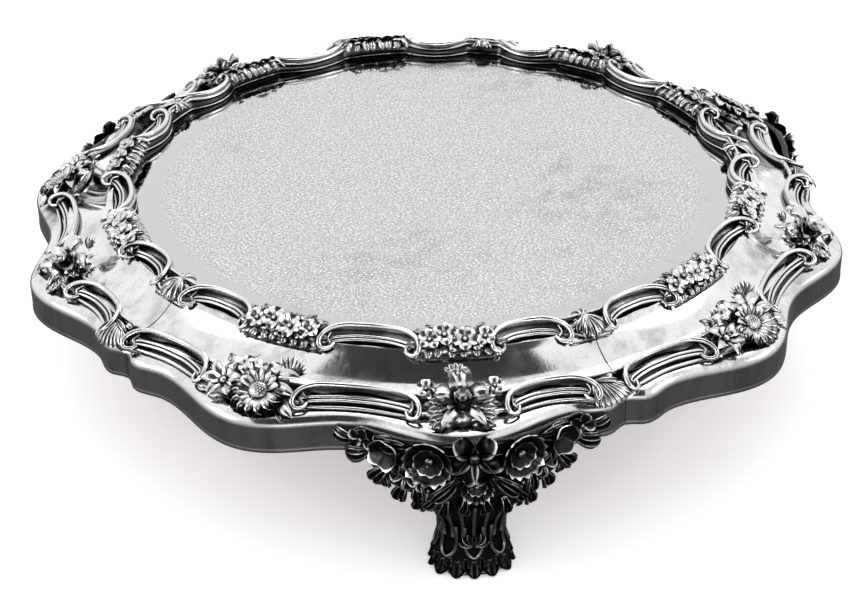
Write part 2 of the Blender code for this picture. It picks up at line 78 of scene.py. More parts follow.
# %% [markdown]
# ## Turning numbers into shapes
# Most of this object is relief: petals, leaves and ribs. Modelling each by hand would take days, so a few
# small functions do it: `place` turns a radius, an azimuth and a height into a point, `Casting` gathers
# many little closed solids into one mesh, and `blade` shapes any petal or leaf from its length, width and
# curl.

# %% Points, frames and a gathering mesh
def place(radius, azimuth, z):
    """A point; azimuth 0 is -Y and turns towards +X."""
    return np.array([radius * math.sin(azimuth), -radius * math.cos(azimuth), z])


def seat(radius, azimuth, z, tilt):
    """A frame on the border: X along it, Y up its slope towards the mirror, Z out of its face."""
    out = place(1.0, azimuth, 0.0)
    along = np.array([math.cos(azimuth), math.sin(azimuth), 0.0])
    up = np.array([0.0, 0.0, 1.0])
    face = up * math.cos(tilt) + out * math.sin(tilt)
    slope = up * math.sin(tilt) - out * math.cos(tilt)
    matrix = np.eye(4)
    matrix[:3, 0] = along
    matrix[:3, 1] = slope
    matrix[:3, 2] = face
    matrix[:3, 3] = place(radius, azimuth, z)
    return matrix


def moved(x=0.0, y=0.0, z=0.0, turn=0.0, pitch=0.0, roll=0.0, size=1.0):
    """A local frame in millimetres: turn about Z, then pitch up, then roll."""
    matrix = (
        Matrix.Translation((x * MM, y * MM, z * MM))
        @ Matrix.Rotation(math.radians(turn), 4, "Z")
        @ Matrix.Rotation(math.radians(-pitch), 4, "Y")
        @ Matrix.Rotation(math.radians(roll), 4, "X")
        @ Matrix.Scale(size, 4)
    )
    return np.array(matrix)


class Casting:
    """Many closed solids gathered into one mesh."""

    def __init__(self):
        self.points = []
        self.faces = []
        self.count = 0

    def add(self, solid, matrix=None):
        points, faces = solid
        if matrix is not None:
            points = points @ matrix[:3, :3].T + matrix[:3, 3]
        self.points.append(points)
        self.faces.append(faces + self.count)
        self.count += len(points)
        return self

    def solid(self):
        return np.concatenate(self.points), np.concatenate(self.faces)


def mesh_object(name, solid, finish, sharp=50):
    """One smooth-shaded object, at the origin, from points and quads (a triangle repeats its last point)."""
    points, faces = solid
    mesh = bpy.data.meshes.new(name)
    rows = [tuple(dict.fromkeys(face)) for face in faces.tolist()]
    mesh.from_pydata(points.tolist(), [], rows)
    mesh.validate()
    mesh.materials.append(finish)
    mesh.shade_smooth()
    mesh.set_sharp_from_angle(angle=math.radians(sharp))
    obj = bpy.data.objects.new(name, mesh)
    bpy.context.scene.collection.objects.link(obj)
    return obj


# %% A closed solid under a surface of rows and columns
def grid_faces(rows, columns, offset=0):
    """Quads of a grid whose points run row by row."""
    index = np.arange(rows * columns).reshape(rows, columns) + offset
    corners = (index[:-1, :-1], index[1:, :-1], index[1:, 1:], index[:-1, 1:])
    return np.stack(corners, -1).reshape(-1, 4)


def slab(top, bottom):
    """Closes the space between two grids of the same shape with a wall round the edge."""
    rows, columns, _ = top.shape
    count = rows * columns
    upper = grid_faces(rows, columns)
    lower = grid_faces(rows, columns, count)[:, ::-1]
    index = np.arange(count).reshape(rows, columns)
    rim = np.concatenate([index[0, :], index[1:, -1], index[-1, -2::-1], index[-2:0:-1, 0]])
    following = np.roll(rim, -1)
    wall = np.stack([rim, following, following + count, rim + count], -1)
    points = np.concatenate([top.reshape(-1, 3), bottom.reshape(-1, 3)])
    return points, np.concatenate([upper, lower, wall])


def blade(length, width, lift=0.0, curl=0.0, sway=0.0, root=0.35, wide_at=0.6, point=0.5, cup=0.0, rib=0.0,
          flutes=0, flute=0.0, ruffle=0.0, ruffles=3.0, lobes=0, notch=0.3, thick=0.7, rows=11, columns=9):
    """A petal or leaf in millimetres that grows along +X. Lift, curl and sway are in degrees."""
    u = np.linspace(0.0, 1.0, rows)[:, None]
    v = np.linspace(-1.0, 1.0, columns)[None, :]
    rise = root + (1 - root) * np.sin(np.pi / 2 * np.minimum(u / wide_at, 1.0))
    fall = np.cos(np.pi / 2 * np.clip((u - wide_at) / (1 - wide_at), 0.0, 0.985)) ** point
    half = width / 2 * rise * fall
    if lobes:
        half = half * (1 - notch * np.abs(np.sin(np.pi * lobes * u)) ** 1.5)
    pitch = np.radians(lift + curl * u ** 1.2)
    heading = np.radians(sway) * u
    step = length / (rows - 1)
    level = np.cos(pitch)
    ahead = np.concatenate([level * np.cos(heading), level * np.sin(heading), np.sin(pitch)], 1)
    spine = np.concatenate([np.zeros((1, 3)), np.cumsum((ahead[1:] + ahead[:-1]) / 2 * step, 0)])
    side = np.concatenate([-np.sin(heading), np.cos(heading), 0 * u], 1)
    up = np.cross(ahead, side)
    height = cup * v ** 2 * half + rib * np.exp(-((v / 0.18) ** 2)) * (1 - u)
    height = height + flute * np.cos(np.pi * flutes * v) * np.minimum(u * 3, 1.0)
    height = height + ruffle * np.sin(np.pi * ruffles * v) * u ** 2
    across = side[:, None, :] * (half * v)[..., None]
    top = spine[:, None, :] + across + up[:, None, :] * height[..., None]
    body = thick * (0.35 + 0.65 * (1 - v ** 2)) * (1 - 0.5 * u)
    return slab(top * MM, (top - up[:, None, :] * body[..., None]) * MM)


def closed_rings(ring, first, last):
    """A closed solid from rings of points and a pole at each end."""
    rows, columns, _ = ring.shape
    count = rows * columns
    index = np.arange(count).reshape(rows, columns)
    nxt = np.roll(index, -1, axis=1)
    sides = np.stack([index[:-1], index[1:], nxt[1:], nxt[:-1]], -1).reshape(-1, 4)
    crown = np.stack([0 * nxt[0] + count, index[0], nxt[0], nxt[0]], -1)
    under = np.stack([0 * nxt[0] + count + 1, nxt[-1], index[-1], index[-1]], -1)
    points = np.concatenate([ring.reshape(-1, 3), [first], [last]]) * MM
    return points, np.concatenate([sides, crown, under])


def dome(a, b, height, lumps=0.0, seed=0, rows=9, columns=20):
    """A closed low mound, a by b millimetres in half-widths, with lumps if asked."""
    rng = np.random.default_rng(seed)
    phase = rng.uniform(0, math.tau, 6)
    t = np.linspace(0.0, np.pi / 2, rows)[:, None]
    w = np.linspace(0.0, math.tau, columns, endpoint=False)[None, :]
    broad = np.sin(5 * w + phase[0] + 2 * t)
    small = np.sin(9 * w + phase[1]) * np.sin(3 * t + phase[2])
    lump = 1 + lumps * (broad + small)
    x = a * np.sin(t) * np.cos(w) * lump
    y = b * np.sin(t) * np.sin(w) * lump
    z = height * np.cos(t) * lump + 0 * w
    upper = np.stack([x, y, z], -1)[1:]
    lower = upper[-1:] - np.array([0, 0, 1.5])
    return closed_rings(np.concatenate([upper, lower]), (0, 0, height), (0, 0, -1.5))


print("a plain petal has", len(blade(10, 6)[1]), "faces")

# %% [markdown]
# ## Camera, floor and light
# Silver has hardly any colour of its own: it shows what stands round it. So the floor is plain and pale,
# large soft lights make the broad highlights, and dark cards, which only reflections see, make the deep
# blacks that give cast silver its depth. One card lies under the object and one hangs over the viewer.

# %% Camera
VIEW_TURN = math.radians(-25.518)
SWING = Matrix.Rotation(VIEW_TURN, 4, "Z")


def aimed(obj, location, aim, roll=0.0):
    """Points an object's -Z at the aim, both given in the viewer's own turn."""
    location = SWING @ Vector(location)
    forward = (SWING @ Vector(aim) - location).normalized()
    right = forward.cross(Vector((0, 0, 1))).normalized()
    up = right.cross(forward)
    across = right * math.cos(roll) + up * math.sin(roll)
    upward = up * math.cos(roll) - right * math.sin(roll)
    matrix = Matrix.Identity(4)
    for column, axis in enumerate((across, upward, -forward, location)):
        for row in range(3):
            matrix[row][column] = axis[row]
    obj.matrix_world = matrix
    bpy.context.scene.collection.objects.link(obj)
    return obj


CAMERA_PLACE = (0, -0.9060, 0.5793)
CAMERA_AIM = (-0.00096, 0, 0.0170)
CAMERA_ROLL = -0.0126
camera_data = bpy.data.cameras.new("camera")
camera_data.lens = 79.09
camera_data.sensor_width = 36.0
camera_data.clip_start = 0.01
camera_object = bpy.data.objects.new("camera", camera_data)
camera = aimed(camera_object, CAMERA_PLACE, CAMERA_AIM, CAMERA_ROLL)
bpy.context.scene.camera = camera
bpy.context.scene.view_settings.view_transform = "Standard"
print("camera", [round(v, 3) for v in camera.location])


# %% Materials: a short way to add and join nodes
class Finish:
    """A material with a Principled shader, and a short way to add nodes to it."""

    def __init__(self, name):
        self.material = bpy.data.materials.new(name)
        self.material.use_nodes = True
        self.tree = self.material.node_tree
        self.tree.nodes.clear()
        out = self.add("ShaderNodeOutputMaterial")
        self.shader = self.add("ShaderNodeBsdfPrincipled")
        self.tree.links.new(self.shader.outputs["BSDF"], out.inputs["Surface"])
        self.spot = self.add("ShaderNodeTexCoord").outputs["Object"]

    def add(self, kind, sockets=None, **settings):
        node = self.tree.nodes.new(kind)
        for name, value in settings.items():
            setattr(node, name, value)
        for name, value in (sockets or {}).items():
            self.give(node, name, value)
        return node

    def give(self, node, name, value):
        """Links a socket into an input, or sets the input's own value."""
        if isinstance(value, bpy.types.NodeSocket):
            self.tree.links.new(value, node.inputs[name])
        else:
            node.inputs[name].default_value = value

    def noise(self, scale, detail=4.0, rough=0.55, stretch=(1, 1, 1), shift=(0, 0, 0)):
        spot = self.add("ShaderNodeMapping", {"Vector": self.spot, "Scale": stretch, "Location": shift})
        sockets = {"Vector": spot.outputs[0], "Scale": scale, "Detail": detail, "Roughness": rough}
        return self.add("ShaderNodeTexNoise", sockets).outputs["Fac"]

    def span(self, value, low, high, to_low=0.0, to_high=1.0):
        """Stretches a value from one span to another, held at both ends."""
        sockets = {"Value": value, "From Min": low, "From Max": high, "To Min": to_low, "To Max": to_high}
        return self.add("ShaderNodeMapRange", sockets, interpolation_type="SMOOTHSTEP").outputs["Result"]

    def math(self, operation, a, b):
        return self.add("ShaderNodeMath", {0: a, 1: b}, operation=operation).outputs[0]

    def mix(self, factor, a, b):
        return self.add("ShaderNodeMix", {0: factor, 6: a, 7: b}, data_type="RGBA").outputs[2]

    def bump(self, height, distance, strength=1.0):
        sockets = {"Height": height, "Distance": distance, "Strength": strength}
        self.give(self.shader, "Normal", self.add("ShaderNodeBump", sockets).outputs[0])

    def height(self):
        return self.add("ShaderNodeSeparateXYZ", {0: self.spot}).outputs["Z"]

    def radius(self):
        """How far the spot lies from the object's own axis."""
        sockets = {0: self.spot, 1: (1, 1, 0)}
        flat = self.add("ShaderNodeVectorMath", sockets, operation="MULTIPLY").outputs[0]
        return self.add("ShaderNodeVectorMath", {0: flat}, operation="LENGTH").outputs["Value"]

    def recess(self, distance):
        """0 deep in a recess and 1 in the open."""
        return self.add("ShaderNodeAmbientOcclusion", {"Distance": distance}, samples=6).outputs["AO"]


def grey(value, warm=0.0):
    return (value * (1 + warm), value, value * (1 - warm), 1.0)


def plain_finish(name, value, rough, variation=0.03):
    finish = Finish(name)
    tone = finish.span(finish.noise(6.0), 0.3, 0.7)
    colour = finish.mix(tone, grey(value), grey(value * (1 + variation)))
    finish.give(finish.shader, "Base Color", colour)
    finish.shader.inputs["Roughness"].default_value = rough
    return finish.material


print("node helpers ready")


# %% Floor, cards and lights
def stage_sheet(name, corners, finish, seen):
    """A flat stage piece; a card that isn't seen shows in reflections only."""
    mesh = bpy.data.meshes.new(name)
    mesh.from_pydata([tuple(SWING @ Vector(c)) for c in corners], [], [tuple(range(len(corners)))])
    mesh.materials.append(finish)
    obj = bpy.data.objects.new(name, mesh)
    bpy.context.scene.collection.objects.link(obj)
    if not seen:
        obj.visible_camera = False
        obj.visible_diffuse = False
        obj.visible_shadow = False
        obj.visible_transmission = False
    return obj


def round_outline(radius, z, count=64):
    turns = [math.tau * k / count for k in range(count)]
    return [(radius * math.cos(t), radius * math.sin(t), z) for t in turns]


FLOOR_HALF = 4.0
FLOOR_Z = -0.0005
FLOOR_GLOW = 0.36
CARD_R = 0.9
CARD_Z = -0.0002
OVERHEAD_CARD = [(-0.55, -1.2, 0.75), (0.55, -1.2, 0.75), (0.42, 0.02, 1.35), (-0.42, 0.02, 1.35)]
FLOOR_GREY = plain_finish("pale_floor", 0.86, 0.9)
floor_shader = FLOOR_GREY.node_tree.nodes["Principled BSDF"]
floor_shader.inputs["Emission Color"].default_value = grey(1.0)
floor_shader.inputs["Emission Strength"].default_value = FLOOR_GLOW
CARD_BLACK = plain_finish("black_card", 0.015, 0.9)
CARD_GREY = plain_finish("grey_card", 0.10, 0.9)
floor_corners = [(x * FLOOR_HALF, y * FLOOR_HALF, FLOOR_Z) for x, y in ((-1, -1), (1, -1), (1, 1), (-1, 1))]
stage_sheet("floor", floor_corners, FLOOR_GREY, True)
stage_sheet("floor_card", round_outline(CARD_R, CARD_Z), CARD_GREY, False)
stage_sheet("viewer_card", OVERHEAD_CARD, CARD_BLACK, False)


def soft_light(name, location, size, watts, aim=(0, 0, 0.06)):
    data = bpy.data.lights.new(name, "AREA")
    data.shape = "RECTANGLE"
    data.size, data.size_y = size
    data.energy = watts
    return aimed(bpy.data.objects.new(name, data), location, aim)


soft_light("back_softbox", (0.1, 0.75, 1.35), (1.1, 0.5), 5)
soft_light("left_softbox", (-1.2, -0.35, 0.95), (0.8, 0.6), 5)
soft_light("right_softbox", (1.25, -0.1, 0.9), (0.7, 0.5), 3.5)
soft_light("front_strip", (0.15, -1.1, 0.30), (0.8, 0.08), 1.6)
world = bpy.data.worlds.new("studio")
world.use_nodes = True
world.node_tree.nodes["Background"].inputs["Color"].default_value = grey(1.0)
world.node_tree.nodes["Background"].inputs["Strength"].default_value = 1.0
bpy.context.scene.world = world

# %% [markdown]
# ## Silver, three ways
# The sheet is silver plate that has been polished for a century: bright, with a haze of fine scratches and
# smudges, and below the shoulder it is painted darker, as painted shade for the dark that the apron's side
# reflects. The castings keep black tarnish in every hollow, because a cloth only reaches the high spots, and
# their hollows and the spots close to other pieces are painted darker still as painted shade; their sharp
# edges are painted bright, partly wear and partly painted highlight. An ambient occlusion node finds those
# hollows on any shape, so one recipe serves both castings.


# %% Silver finishes
def silver_plate(name, bright, dull, rough_low, rough_high, painted_low_shade=0.72):
    finish = Finish(name)
    cloud = finish.span(finish.noise(14.0, 6.0, 0.6), 0.32, 0.70)
    smear = finish.span(finish.noise(60.0, 5.0, 0.7, stretch=(1, 1, 0.22)), 0.40, 0.72)
    speck = finish.span(finish.noise(900.0, 2.0), 0.66, 0.74)
    dirt_and_shade = finish.math("MULTIPLY", cloud, smear)
    # Below the shoulder the colour is painted darker: painted shade for the dark that the apron's side
    # reflects. It is mixed with the sheet's smudges and clouds.
    low = finish.span(finish.height(), SHOULDER - 4.5 * MM, SHOULDER - 1.0 * MM, 1.0, 0.0)
    cloudy = finish.math("MULTIPLY", dirt_and_shade, 0.8)
    dirt_and_shade = finish.math("MAXIMUM", cloudy, finish.math("MULTIPLY", low, painted_low_shade))
    shade = finish.math("ADD", dirt_and_shade, finish.math("MULTIPLY", smear, 0.12))
    tone = finish.mix(shade, grey(bright), grey(dull))
    tone = finish.mix(finish.math("MULTIPLY", speck, 0.5), tone, grey(dull * 0.5))
    finish.give(finish.shader, "Base Color", tone)
    finish.give(finish.shader, "Roughness", finish.span(dirt_and_shade, 0.0, 1.0, rough_low, rough_high))
    finish.shader.inputs["Metallic"].default_value = 1.0
    fine = finish.noise(1800.0, 2.0, 0.5, stretch=(1, 1, 0.15))
    finish.bump(finish.math("ADD", finish.math("MULTIPLY", fine, 0.25), smear), 0.00004, 0.5)
    return finish.material


def cast_silver(name, bright, black, depth, rough, rubbed_highlight=None):
    """Silver with tarnish and painted shade in its hollows; a bright tone, partly wear and partly painted
    highlight, is for the high edges alone.
    """
    finish = Finish(name)
    patch = finish.span(finish.noise(90.0, 5.0, 0.6), 0.35, 0.70)
    # Hollows, and spots close to other pieces, are painted dark: partly real tarnish, partly painted shade.
    open_air = finish.recess(depth)
    reached_and_lit = finish.math("SUBTRACT", open_air, finish.math("MULTIPLY", patch, 0.10))
    clean_and_lit = finish.span(reached_and_lit, 0.50, 0.97)
    tone = finish.mix(clean_and_lit, grey(black), grey(bright))
    if rubbed_highlight is not None:
        # Sharp high edges are painted bright: partly wear, partly painted highlight.
        edge = finish.add("ShaderNodeNewGeometry").outputs["Pointiness"]
        proud = finish.span(edge, 0.53, 0.60)
        worn_and_highlit = finish.math("MULTIPLY", proud, finish.span(open_air, 0.55, 0.95))
        tone = finish.mix(worn_and_highlit, tone, grey(rubbed_highlight))
    finish.give(finish.shader, "Base Color", tone)
    finish.give(finish.shader, "Roughness", finish.span(clean_and_lit, 0.0, 1.0, rough + 0.28, rough))
    finish.shader.inputs["Metallic"].default_value = 1.0
    pits = finish.noise(700.0, 3.0, 0.6)
    finish.bump(finish.math("ADD", pits, finish.math("MULTIPLY", patch, 0.6)), 0.00012, 0.55)
    return finish.material


PLATE = silver_plate("polished_silver_cove", 0.88, 0.30, 0.09, 0.30)
APRON = silver_plate("brushed_silver_apron", 0.84, 0.11, 0.12, 0.50, painted_low_shade=0.85)
CAST = cast_silver("cast_silver_border", 0.80, 0.008, 3.6 * MM, 0.15)
# The feet's silver is near black all over, partly tarnish and partly painted shade, with painted highlights
# on its edges.
DARK_CAST = cast_silver("dark_cast_silver_feet", 0.026, 0.003, 4.0 * MM, 0.20, rubbed_highlight=0.75)
print("silver finishes:", PLATE.name, CAST.name, DARK_CAST.name)

# %% [markdown]
# ## The mirror
# Old mirror plate foxes: damp gets behind the silvering and leaves grains, clouds and pinholes. Round the
# rim it stays cleaner. The disc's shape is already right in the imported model, so it keeps that mesh and
# gets this finish, which is noise at three sizes.

# %% Mirror finish
mirror = Finish("foxed_mirror")
grain = mirror.noise(820.0, 3.0, 0.75)
mottle = mirror.noise(75.0, 6.0, 0.72)
cloud = mirror.noise(9.0, 4.0, 0.6, shift=(0.31, 0.12, 0.0))
inside = mirror.span(mirror.radius(), GLASS_R - 30 * MM, GLASS_R - 14 * MM, 1.0, 0.0)
dark_grain = mirror.math("MULTIPLY", mirror.span(grain, 0.50, 0.66), inside)
pale_grain = mirror.math("MULTIPLY", mirror.span(grain, 0.50, 0.34), inside)
dark_cloud = mirror.math("MULTIPLY", mirror.span(cloud, 0.50, 0.68), mirror.span(mottle, 0.40, 0.62))
fine_foxing = mirror.math("MULTIPLY", dark_grain, 0.72)
foxing = mirror.math("MAXIMUM", fine_foxing, mirror.math("MULTIPLY", dark_cloud, 0.55))
silvering = mirror.mix(foxing, grey(0.62), grey(0.16))
silvering = mirror.mix(mirror.math("MULTIPLY", pale_grain, 0.75), silvering, grey(0.92))
mirror.give(mirror.shader, "Base Color", silvering)
haze = mirror.math("ADD", mirror.math("MULTIPLY", foxing, 0.45), mirror.math("MULTIPLY", pale_grain, 0.4))
mirror.give(mirror.shader, "Roughness", mirror.math("ADD", haze, 0.03))
metal = mirror.math("SUBTRACT", 1.0, mirror.math("MULTIPLY", pale_grain, 0.5))
mirror.give(mirror.shader, "Metallic", metal)
mirror.shader.inputs["Coat Weight"].default_value = 0.6
mirror.shader.inputs["Coat Roughness"].default_value = 0.02
mirror.bump(mirror.math("MULTIPLY", grain, inside), 0.00002, 0.3)


# %% Wood, baize and iron finishes
def wood_finish(name, light, dark):
    finish = Finish(name)
    ring = finish.noise(9.0, 3.0, 0.5, stretch=(1.0, 9.0, 2.0))
    pore = finish.noise(420.0, 2.0, 0.6, stretch=(0.05, 1.0, 1.0))
    tone = finish.mix(finish.span(ring, 0.3, 0.7), light, dark)
    open_pore = finish.math("MULTIPLY", finish.span(pore, 0.55, 0.75), 0.6)
    tone = finish.mix(open_pore, tone, (0.02, 0.008, 0.004, 1))
    finish.give(finish.shader, "Base Color", tone)
    finish.give(finish.shader, "Roughness", finish.span(ring, 0.2, 0.8, 0.42, 0.62))
    finish.bump(finish.math("ADD", pore, finish.math("MULTIPLY", ring, 0.4)), 0.00015, 0.5)
    return finish.material


def cloth_finish(name, light, dark):
    finish = Finish(name)
    nap = finish.noise(1500.0, 4.0, 0.7)
    tone = finish.mix(finish.span(nap, 0.3, 0.7), light, dark)
    finish.give(finish.shader, "Base Color", tone)
    finish.shader.inputs["Roughness"].default_value = 0.95
    finish.bump(nap, 0.0004, 0.8)
    return finish.material


def iron_finish(name):
    finish = Finish(name)
    rust = finish.span(finish.noise(260.0, 5.0, 0.65), 0.45, 0.65)
    colour = finish.mix(rust, (0.20, 0.19, 0.18, 1), (0.11, 0.045, 0.02, 1))
    finish.give(finish.shader, "Base Color", colour)
    finish.give(finish.shader, "Roughness", finish.span(rust, 0.0, 1.0, 0.38, 0.85))
    finish.give(finish.shader, "Metallic", finish.span(rust, 0.0, 1.0, 1.0, 0.2))
    finish.bump(rust, 0.0002, 0.6)
    return finish.material


MAHOGANY = wood_finish("mahogany", (0.17, 0.060, 0.030, 1), (0.075, 0.024, 0.013, 1))
BAIZE = cloth_finish("green_baize", (0.020, 0.075, 0.035, 1), (0.008, 0.035, 0.018, 1))
IRON = iron_finish("rusty_iron")
NODE_FINISH = {
    "mirror_glass": mirror.material, "mirror_pad": BAIZE, "base_board": MAHOGANY, "bed_board": MAHOGANY}
for node_name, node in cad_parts.items():
    finish = NODE_FINISH.get(node_name, IRON)
    node.data.materials.clear()
    node.data.materials.append(finish)
print("finishes given to", len(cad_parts), "packed nodes")

# %% [markdown]
# ## Three Geometry Nodes trees
# Most of the plateau follows a path: the sheet follows the lobed plan, and every rib follows a scroll. So
# one tree sweeps an outline along a path, one turns a drawn line into a round rib whose thickness the
# line itself carries, and one puts a seed on every point it is given. A tree keeps its sizes as named
# inputs, so that the same tree serves many pieces.


# %% Building a tree
class Tree:
    """A Geometry Nodes group with named inputs."""

    def __init__(self, name, sizes):
        self.group = bpy.data.node_groups.new(name, "GeometryNodeTree")
        face = self.group.interface
        face.new_socket("Geometry", in_out="INPUT", socket_type="NodeSocketGeometry")
        self.sockets = {}
        for label, kind in sizes.items():
            socket = face.new_socket(label, in_out="INPUT", socket_type=kind)
            self.sockets[label] = socket.identifier
        face.new_socket("Geometry", in_out="OUTPUT", socket_type="NodeSocketGeometry")
        self.start = self.group.nodes.new("NodeGroupInput")
        self.end = self.group.nodes.new("NodeGroupOutput")

    def add(self, kind, sockets=None, **settings):
        node = self.group.nodes.new(kind)
        for name, value in settings.items():
            setattr(node, name, value)
        for name, value in (sockets or {}).items():
            if isinstance(value, bpy.types.NodeSocket):
                self.group.links.new(value, node.inputs[name])
            else:
                node.inputs[name].default_value = value
        return node

    def finish_with(self, geometry):
        """Every tree ends in Realize Instances and Set Material."""
        smooth = self.add("GeometryNodeSetShadeSmooth", {"Geometry": geometry})
        real = self.add("GeometryNodeRealizeInstances", {"Geometry": smooth.outputs[0]})
        coat = {"Geometry": real.outputs[0], "Material": self.start.outputs["Finish"]}
        self.group.links.new(self.add("GeometryNodeSetMaterial", coat).outputs[0], self.end.inputs[0])
        return self


def grow(name, source, tree, **sizes):
    """Runs a tree on an object once and keeps the plain mesh that it makes."""
    modifier = source.modifiers.new("grow", "NODES")
    modifier.node_group = tree.group
    for label, value in sizes.items():
        modifier[tree.sockets[label.replace("_", " ")]] = value
    graph = bpy.context.evaluated_depsgraph_get()
    mesh = bpy.data.meshes.new_from_object(source.evaluated_get(graph), depsgraph=graph)
    source.modifiers.remove(modifier)
    bpy.data.objects.remove(source)
    turn_outwards(mesh)
    mesh.name = name
    obj = bpy.data.objects.new(name, mesh)
    bpy.context.scene.collection.objects.link(obj)
    return obj


def turn_outwards(mesh):
    """Merges doubled points and turns every face of a closed mesh outwards."""
    work = bmesh.new()
    work.from_mesh(mesh)
    bmesh.ops.remove_doubles(work, verts=work.verts, dist=1e-6)
    bmesh.ops.recalc_face_normals(work, faces=work.faces)
    work.to_mesh(mesh)
    work.free()


# %% The three trees
sweep = Tree("sheet_sweep", {"Outline": "NodeSocketObject", "Finish": "NodeSocketMaterial"})
upright = sweep.add("GeometryNodeSetCurveNormal", {"Curve": sweep.start.outputs["Geometry"]}, mode="Z_UP")
outline = sweep.add("GeometryNodeObjectInfo", {"Object": sweep.start.outputs["Outline"]})
swept = {"Curve": upright.outputs[0], "Profile Curve": outline.outputs["Geometry"], "Fill Caps": True}
sweep.finish_with(sweep.add("GeometryNodeCurveToMesh", swept).outputs[0])

REED_SIZES = {"Sides": "NodeSocketInt", "Flatness": "NodeSocketFloat", "Finish": "NodeSocketMaterial"}
reed = Tree("round_reed", REED_SIZES)
round_section = {"Resolution": reed.start.outputs["Sides"], "Radius": MM}
circle = reed.add("GeometryNodeCurvePrimitiveCircle", round_section)
flat = reed.add("ShaderNodeCombineXYZ", {"X": 1.0, "Y": reed.start.outputs["Flatness"], "Z": 1.0})
squashed = reed.add("GeometryNodeTransform", {"Geometry": circle.outputs[0], "Scale": flat.outputs[0]})
thickness = reed.add("GeometryNodeInputNamedAttribute", {"Name": "radius"}, data_type="FLOAT")
carried = reed.add("GeometryNodeCurveToMesh", {
    "Curve": reed.start.outputs["Geometry"], "Profile Curve": squashed.outputs[0],
    "Scale": thickness.outputs[0], "Fill Caps": True})
reed.finish_with(carried.outputs[0])

SEED_SIZES = {
    "Seed radius": "NodeSocketFloat", "Size spread": "NodeSocketFloat", "Finish": "NodeSocketMaterial"}
SEED_DRAW = 7
seeds = Tree("seed_on_each_point", SEED_SIZES)
given = seeds.start.outputs
ball = seeds.add("GeometryNodeMeshIcoSphere", {"Radius": given["Seed radius"], "Subdivisions": 1})
least = seeds.add("ShaderNodeMath", {0: 1.0, 1: given["Size spread"]}, operation="SUBTRACT")
sizes = {2: least.outputs[0], 3: 1.0, "Seed": SEED_DRAW}
size = seeds.add("FunctionNodeRandomValue", sizes, data_type="FLOAT")
spread = {"Points": given["Geometry"], "Instance": ball.outputs[0], "Scale": size.outputs[1]}
seeds.finish_with(seeds.add("GeometryNodeInstanceOnPoints", spread).outputs[0])
print("trees:", [t.group.name for t in (sweep, reed, seeds)])


# %% Lines and points for the trees to start from
def drawn_lines(name, lines, closed=False):
    """A curve object of straight-jointed lines. A fourth number is the rib's radius in millimetres."""
    data = bpy.data.curves.new(name, "CURVE")
    data.dimensions = "3D"
    for line in lines:
        spline = data.splines.new("POLY")
        spline.points.add(len(line) - 1)
        for point, row in zip(spline.points, line):
            point.co = (row[0], row[1], row[2], 1.0)
            point.radius = row[3] if len(row) > 3 else 1.0
        spline.use_cyclic_u = closed
    obj = bpy.data.objects.new(name, data)
    bpy.context.scene.collection.objects.link(obj)
    return obj


def drawn_points(name, points):
    mesh = bpy.data.meshes.new(name)
    mesh.from_pydata([tuple(p) for p in points], [], [])
    obj = bpy.data.objects.new(name, mesh)
    bpy.context.scene.collection.objects.link(obj)
    return obj


def smoothed(points, count):
    """A smooth line of that many points through the given ones (Catmull-Rom)."""
    rows = np.array(points, float)
    rows = np.concatenate([2 * rows[:1] - rows[1:2], rows, 2 * rows[-1:] - rows[-2:-1]])
    at = np.linspace(0, len(points) - 1, count)
    k = np.minimum(at.astype(int), len(points) - 2)
    t = (at - k)[:, None]
    a, b, c, d = rows[k], rows[k + 1], rows[k + 2], rows[k + 3]
    square = (2 * a - 5 * b + 4 * c - d) * t ** 2
    cube = (3 * b - 3 * c + d - a) * t ** 3
    return 0.5 * (2 * b + (c - a) * t + square + cube)


def keep(obj, slot, *nodes):
    """Every piece here rides on the one body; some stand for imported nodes."""
    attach(obj, "root")
    if nodes:
        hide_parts(*nodes)
    return obj


print("helpers ready for lines, points and pieces")

# %% [markdown]
# ## Apron and cove
# The apron is a strip of sheet, turned over a shoulder above and into a rolled edge below, and its plan
# swells at each flower. The cove is a shallow dish of sheet between the two borders. Both come in five
# sections, and the same tree sweeps both along the plan, which keeps the sheet's section the same all the
# way round.

# %% Plans of the apron and of the borders
LOBES = (
    (0.0, 6.0), (FLOWER_TURN, 20.0), (math.radians(28.5), 5.6), (math.radians(33.0), 9.0), (PITCH / 2, 5.0))


def apron_radius(azimuth):
    """The apron's outside: eased from one lobe to the next."""
    turn = abs(azimuth % PITCH - PITCH / 2)
    for (start, low), (end, high) in zip(LOBES, LOBES[1:]):
        if turn <= end + 1e-9:
            share = (1 - math.cos(math.pi * (turn - start) / (end - start))) / 2
            return OUTER_R + (low + (high - low) * share) * MM
    return OUTER_R + LOBES[-1][1] * MM


def swept_piece(name, plan, section, finish):
    """Sweeps a closed section (out, up), in millimetres, along a plan of points."""
    path = drawn_lines("path", [plan])
    shape = drawn_lines("shape", [[(out * MM, -up * MM, 0) for out, up in section]], closed=True)
    obj = grow(name, path, sweep, Outline=shape, Finish=finish)
    bpy.data.objects.remove(shape)
    obj.data.set_sharp_from_angle(angle=math.radians(42))
    return obj


def rounded(points, count):
    """A smooth open section through the given points."""
    return [tuple(p) for p in smoothed([(x, y, 0) for x, y in points], count)[:, :2]]


SEAM_GAP = 0.22 * MM


def section_turns(k, radius, count):
    """Evenly spaced turns across one section, trimmed at both seams."""
    trim = SEAM_GAP / radius
    return np.linspace(k * PITCH + trim, (k + 1) * PITCH - trim, count) - PITCH


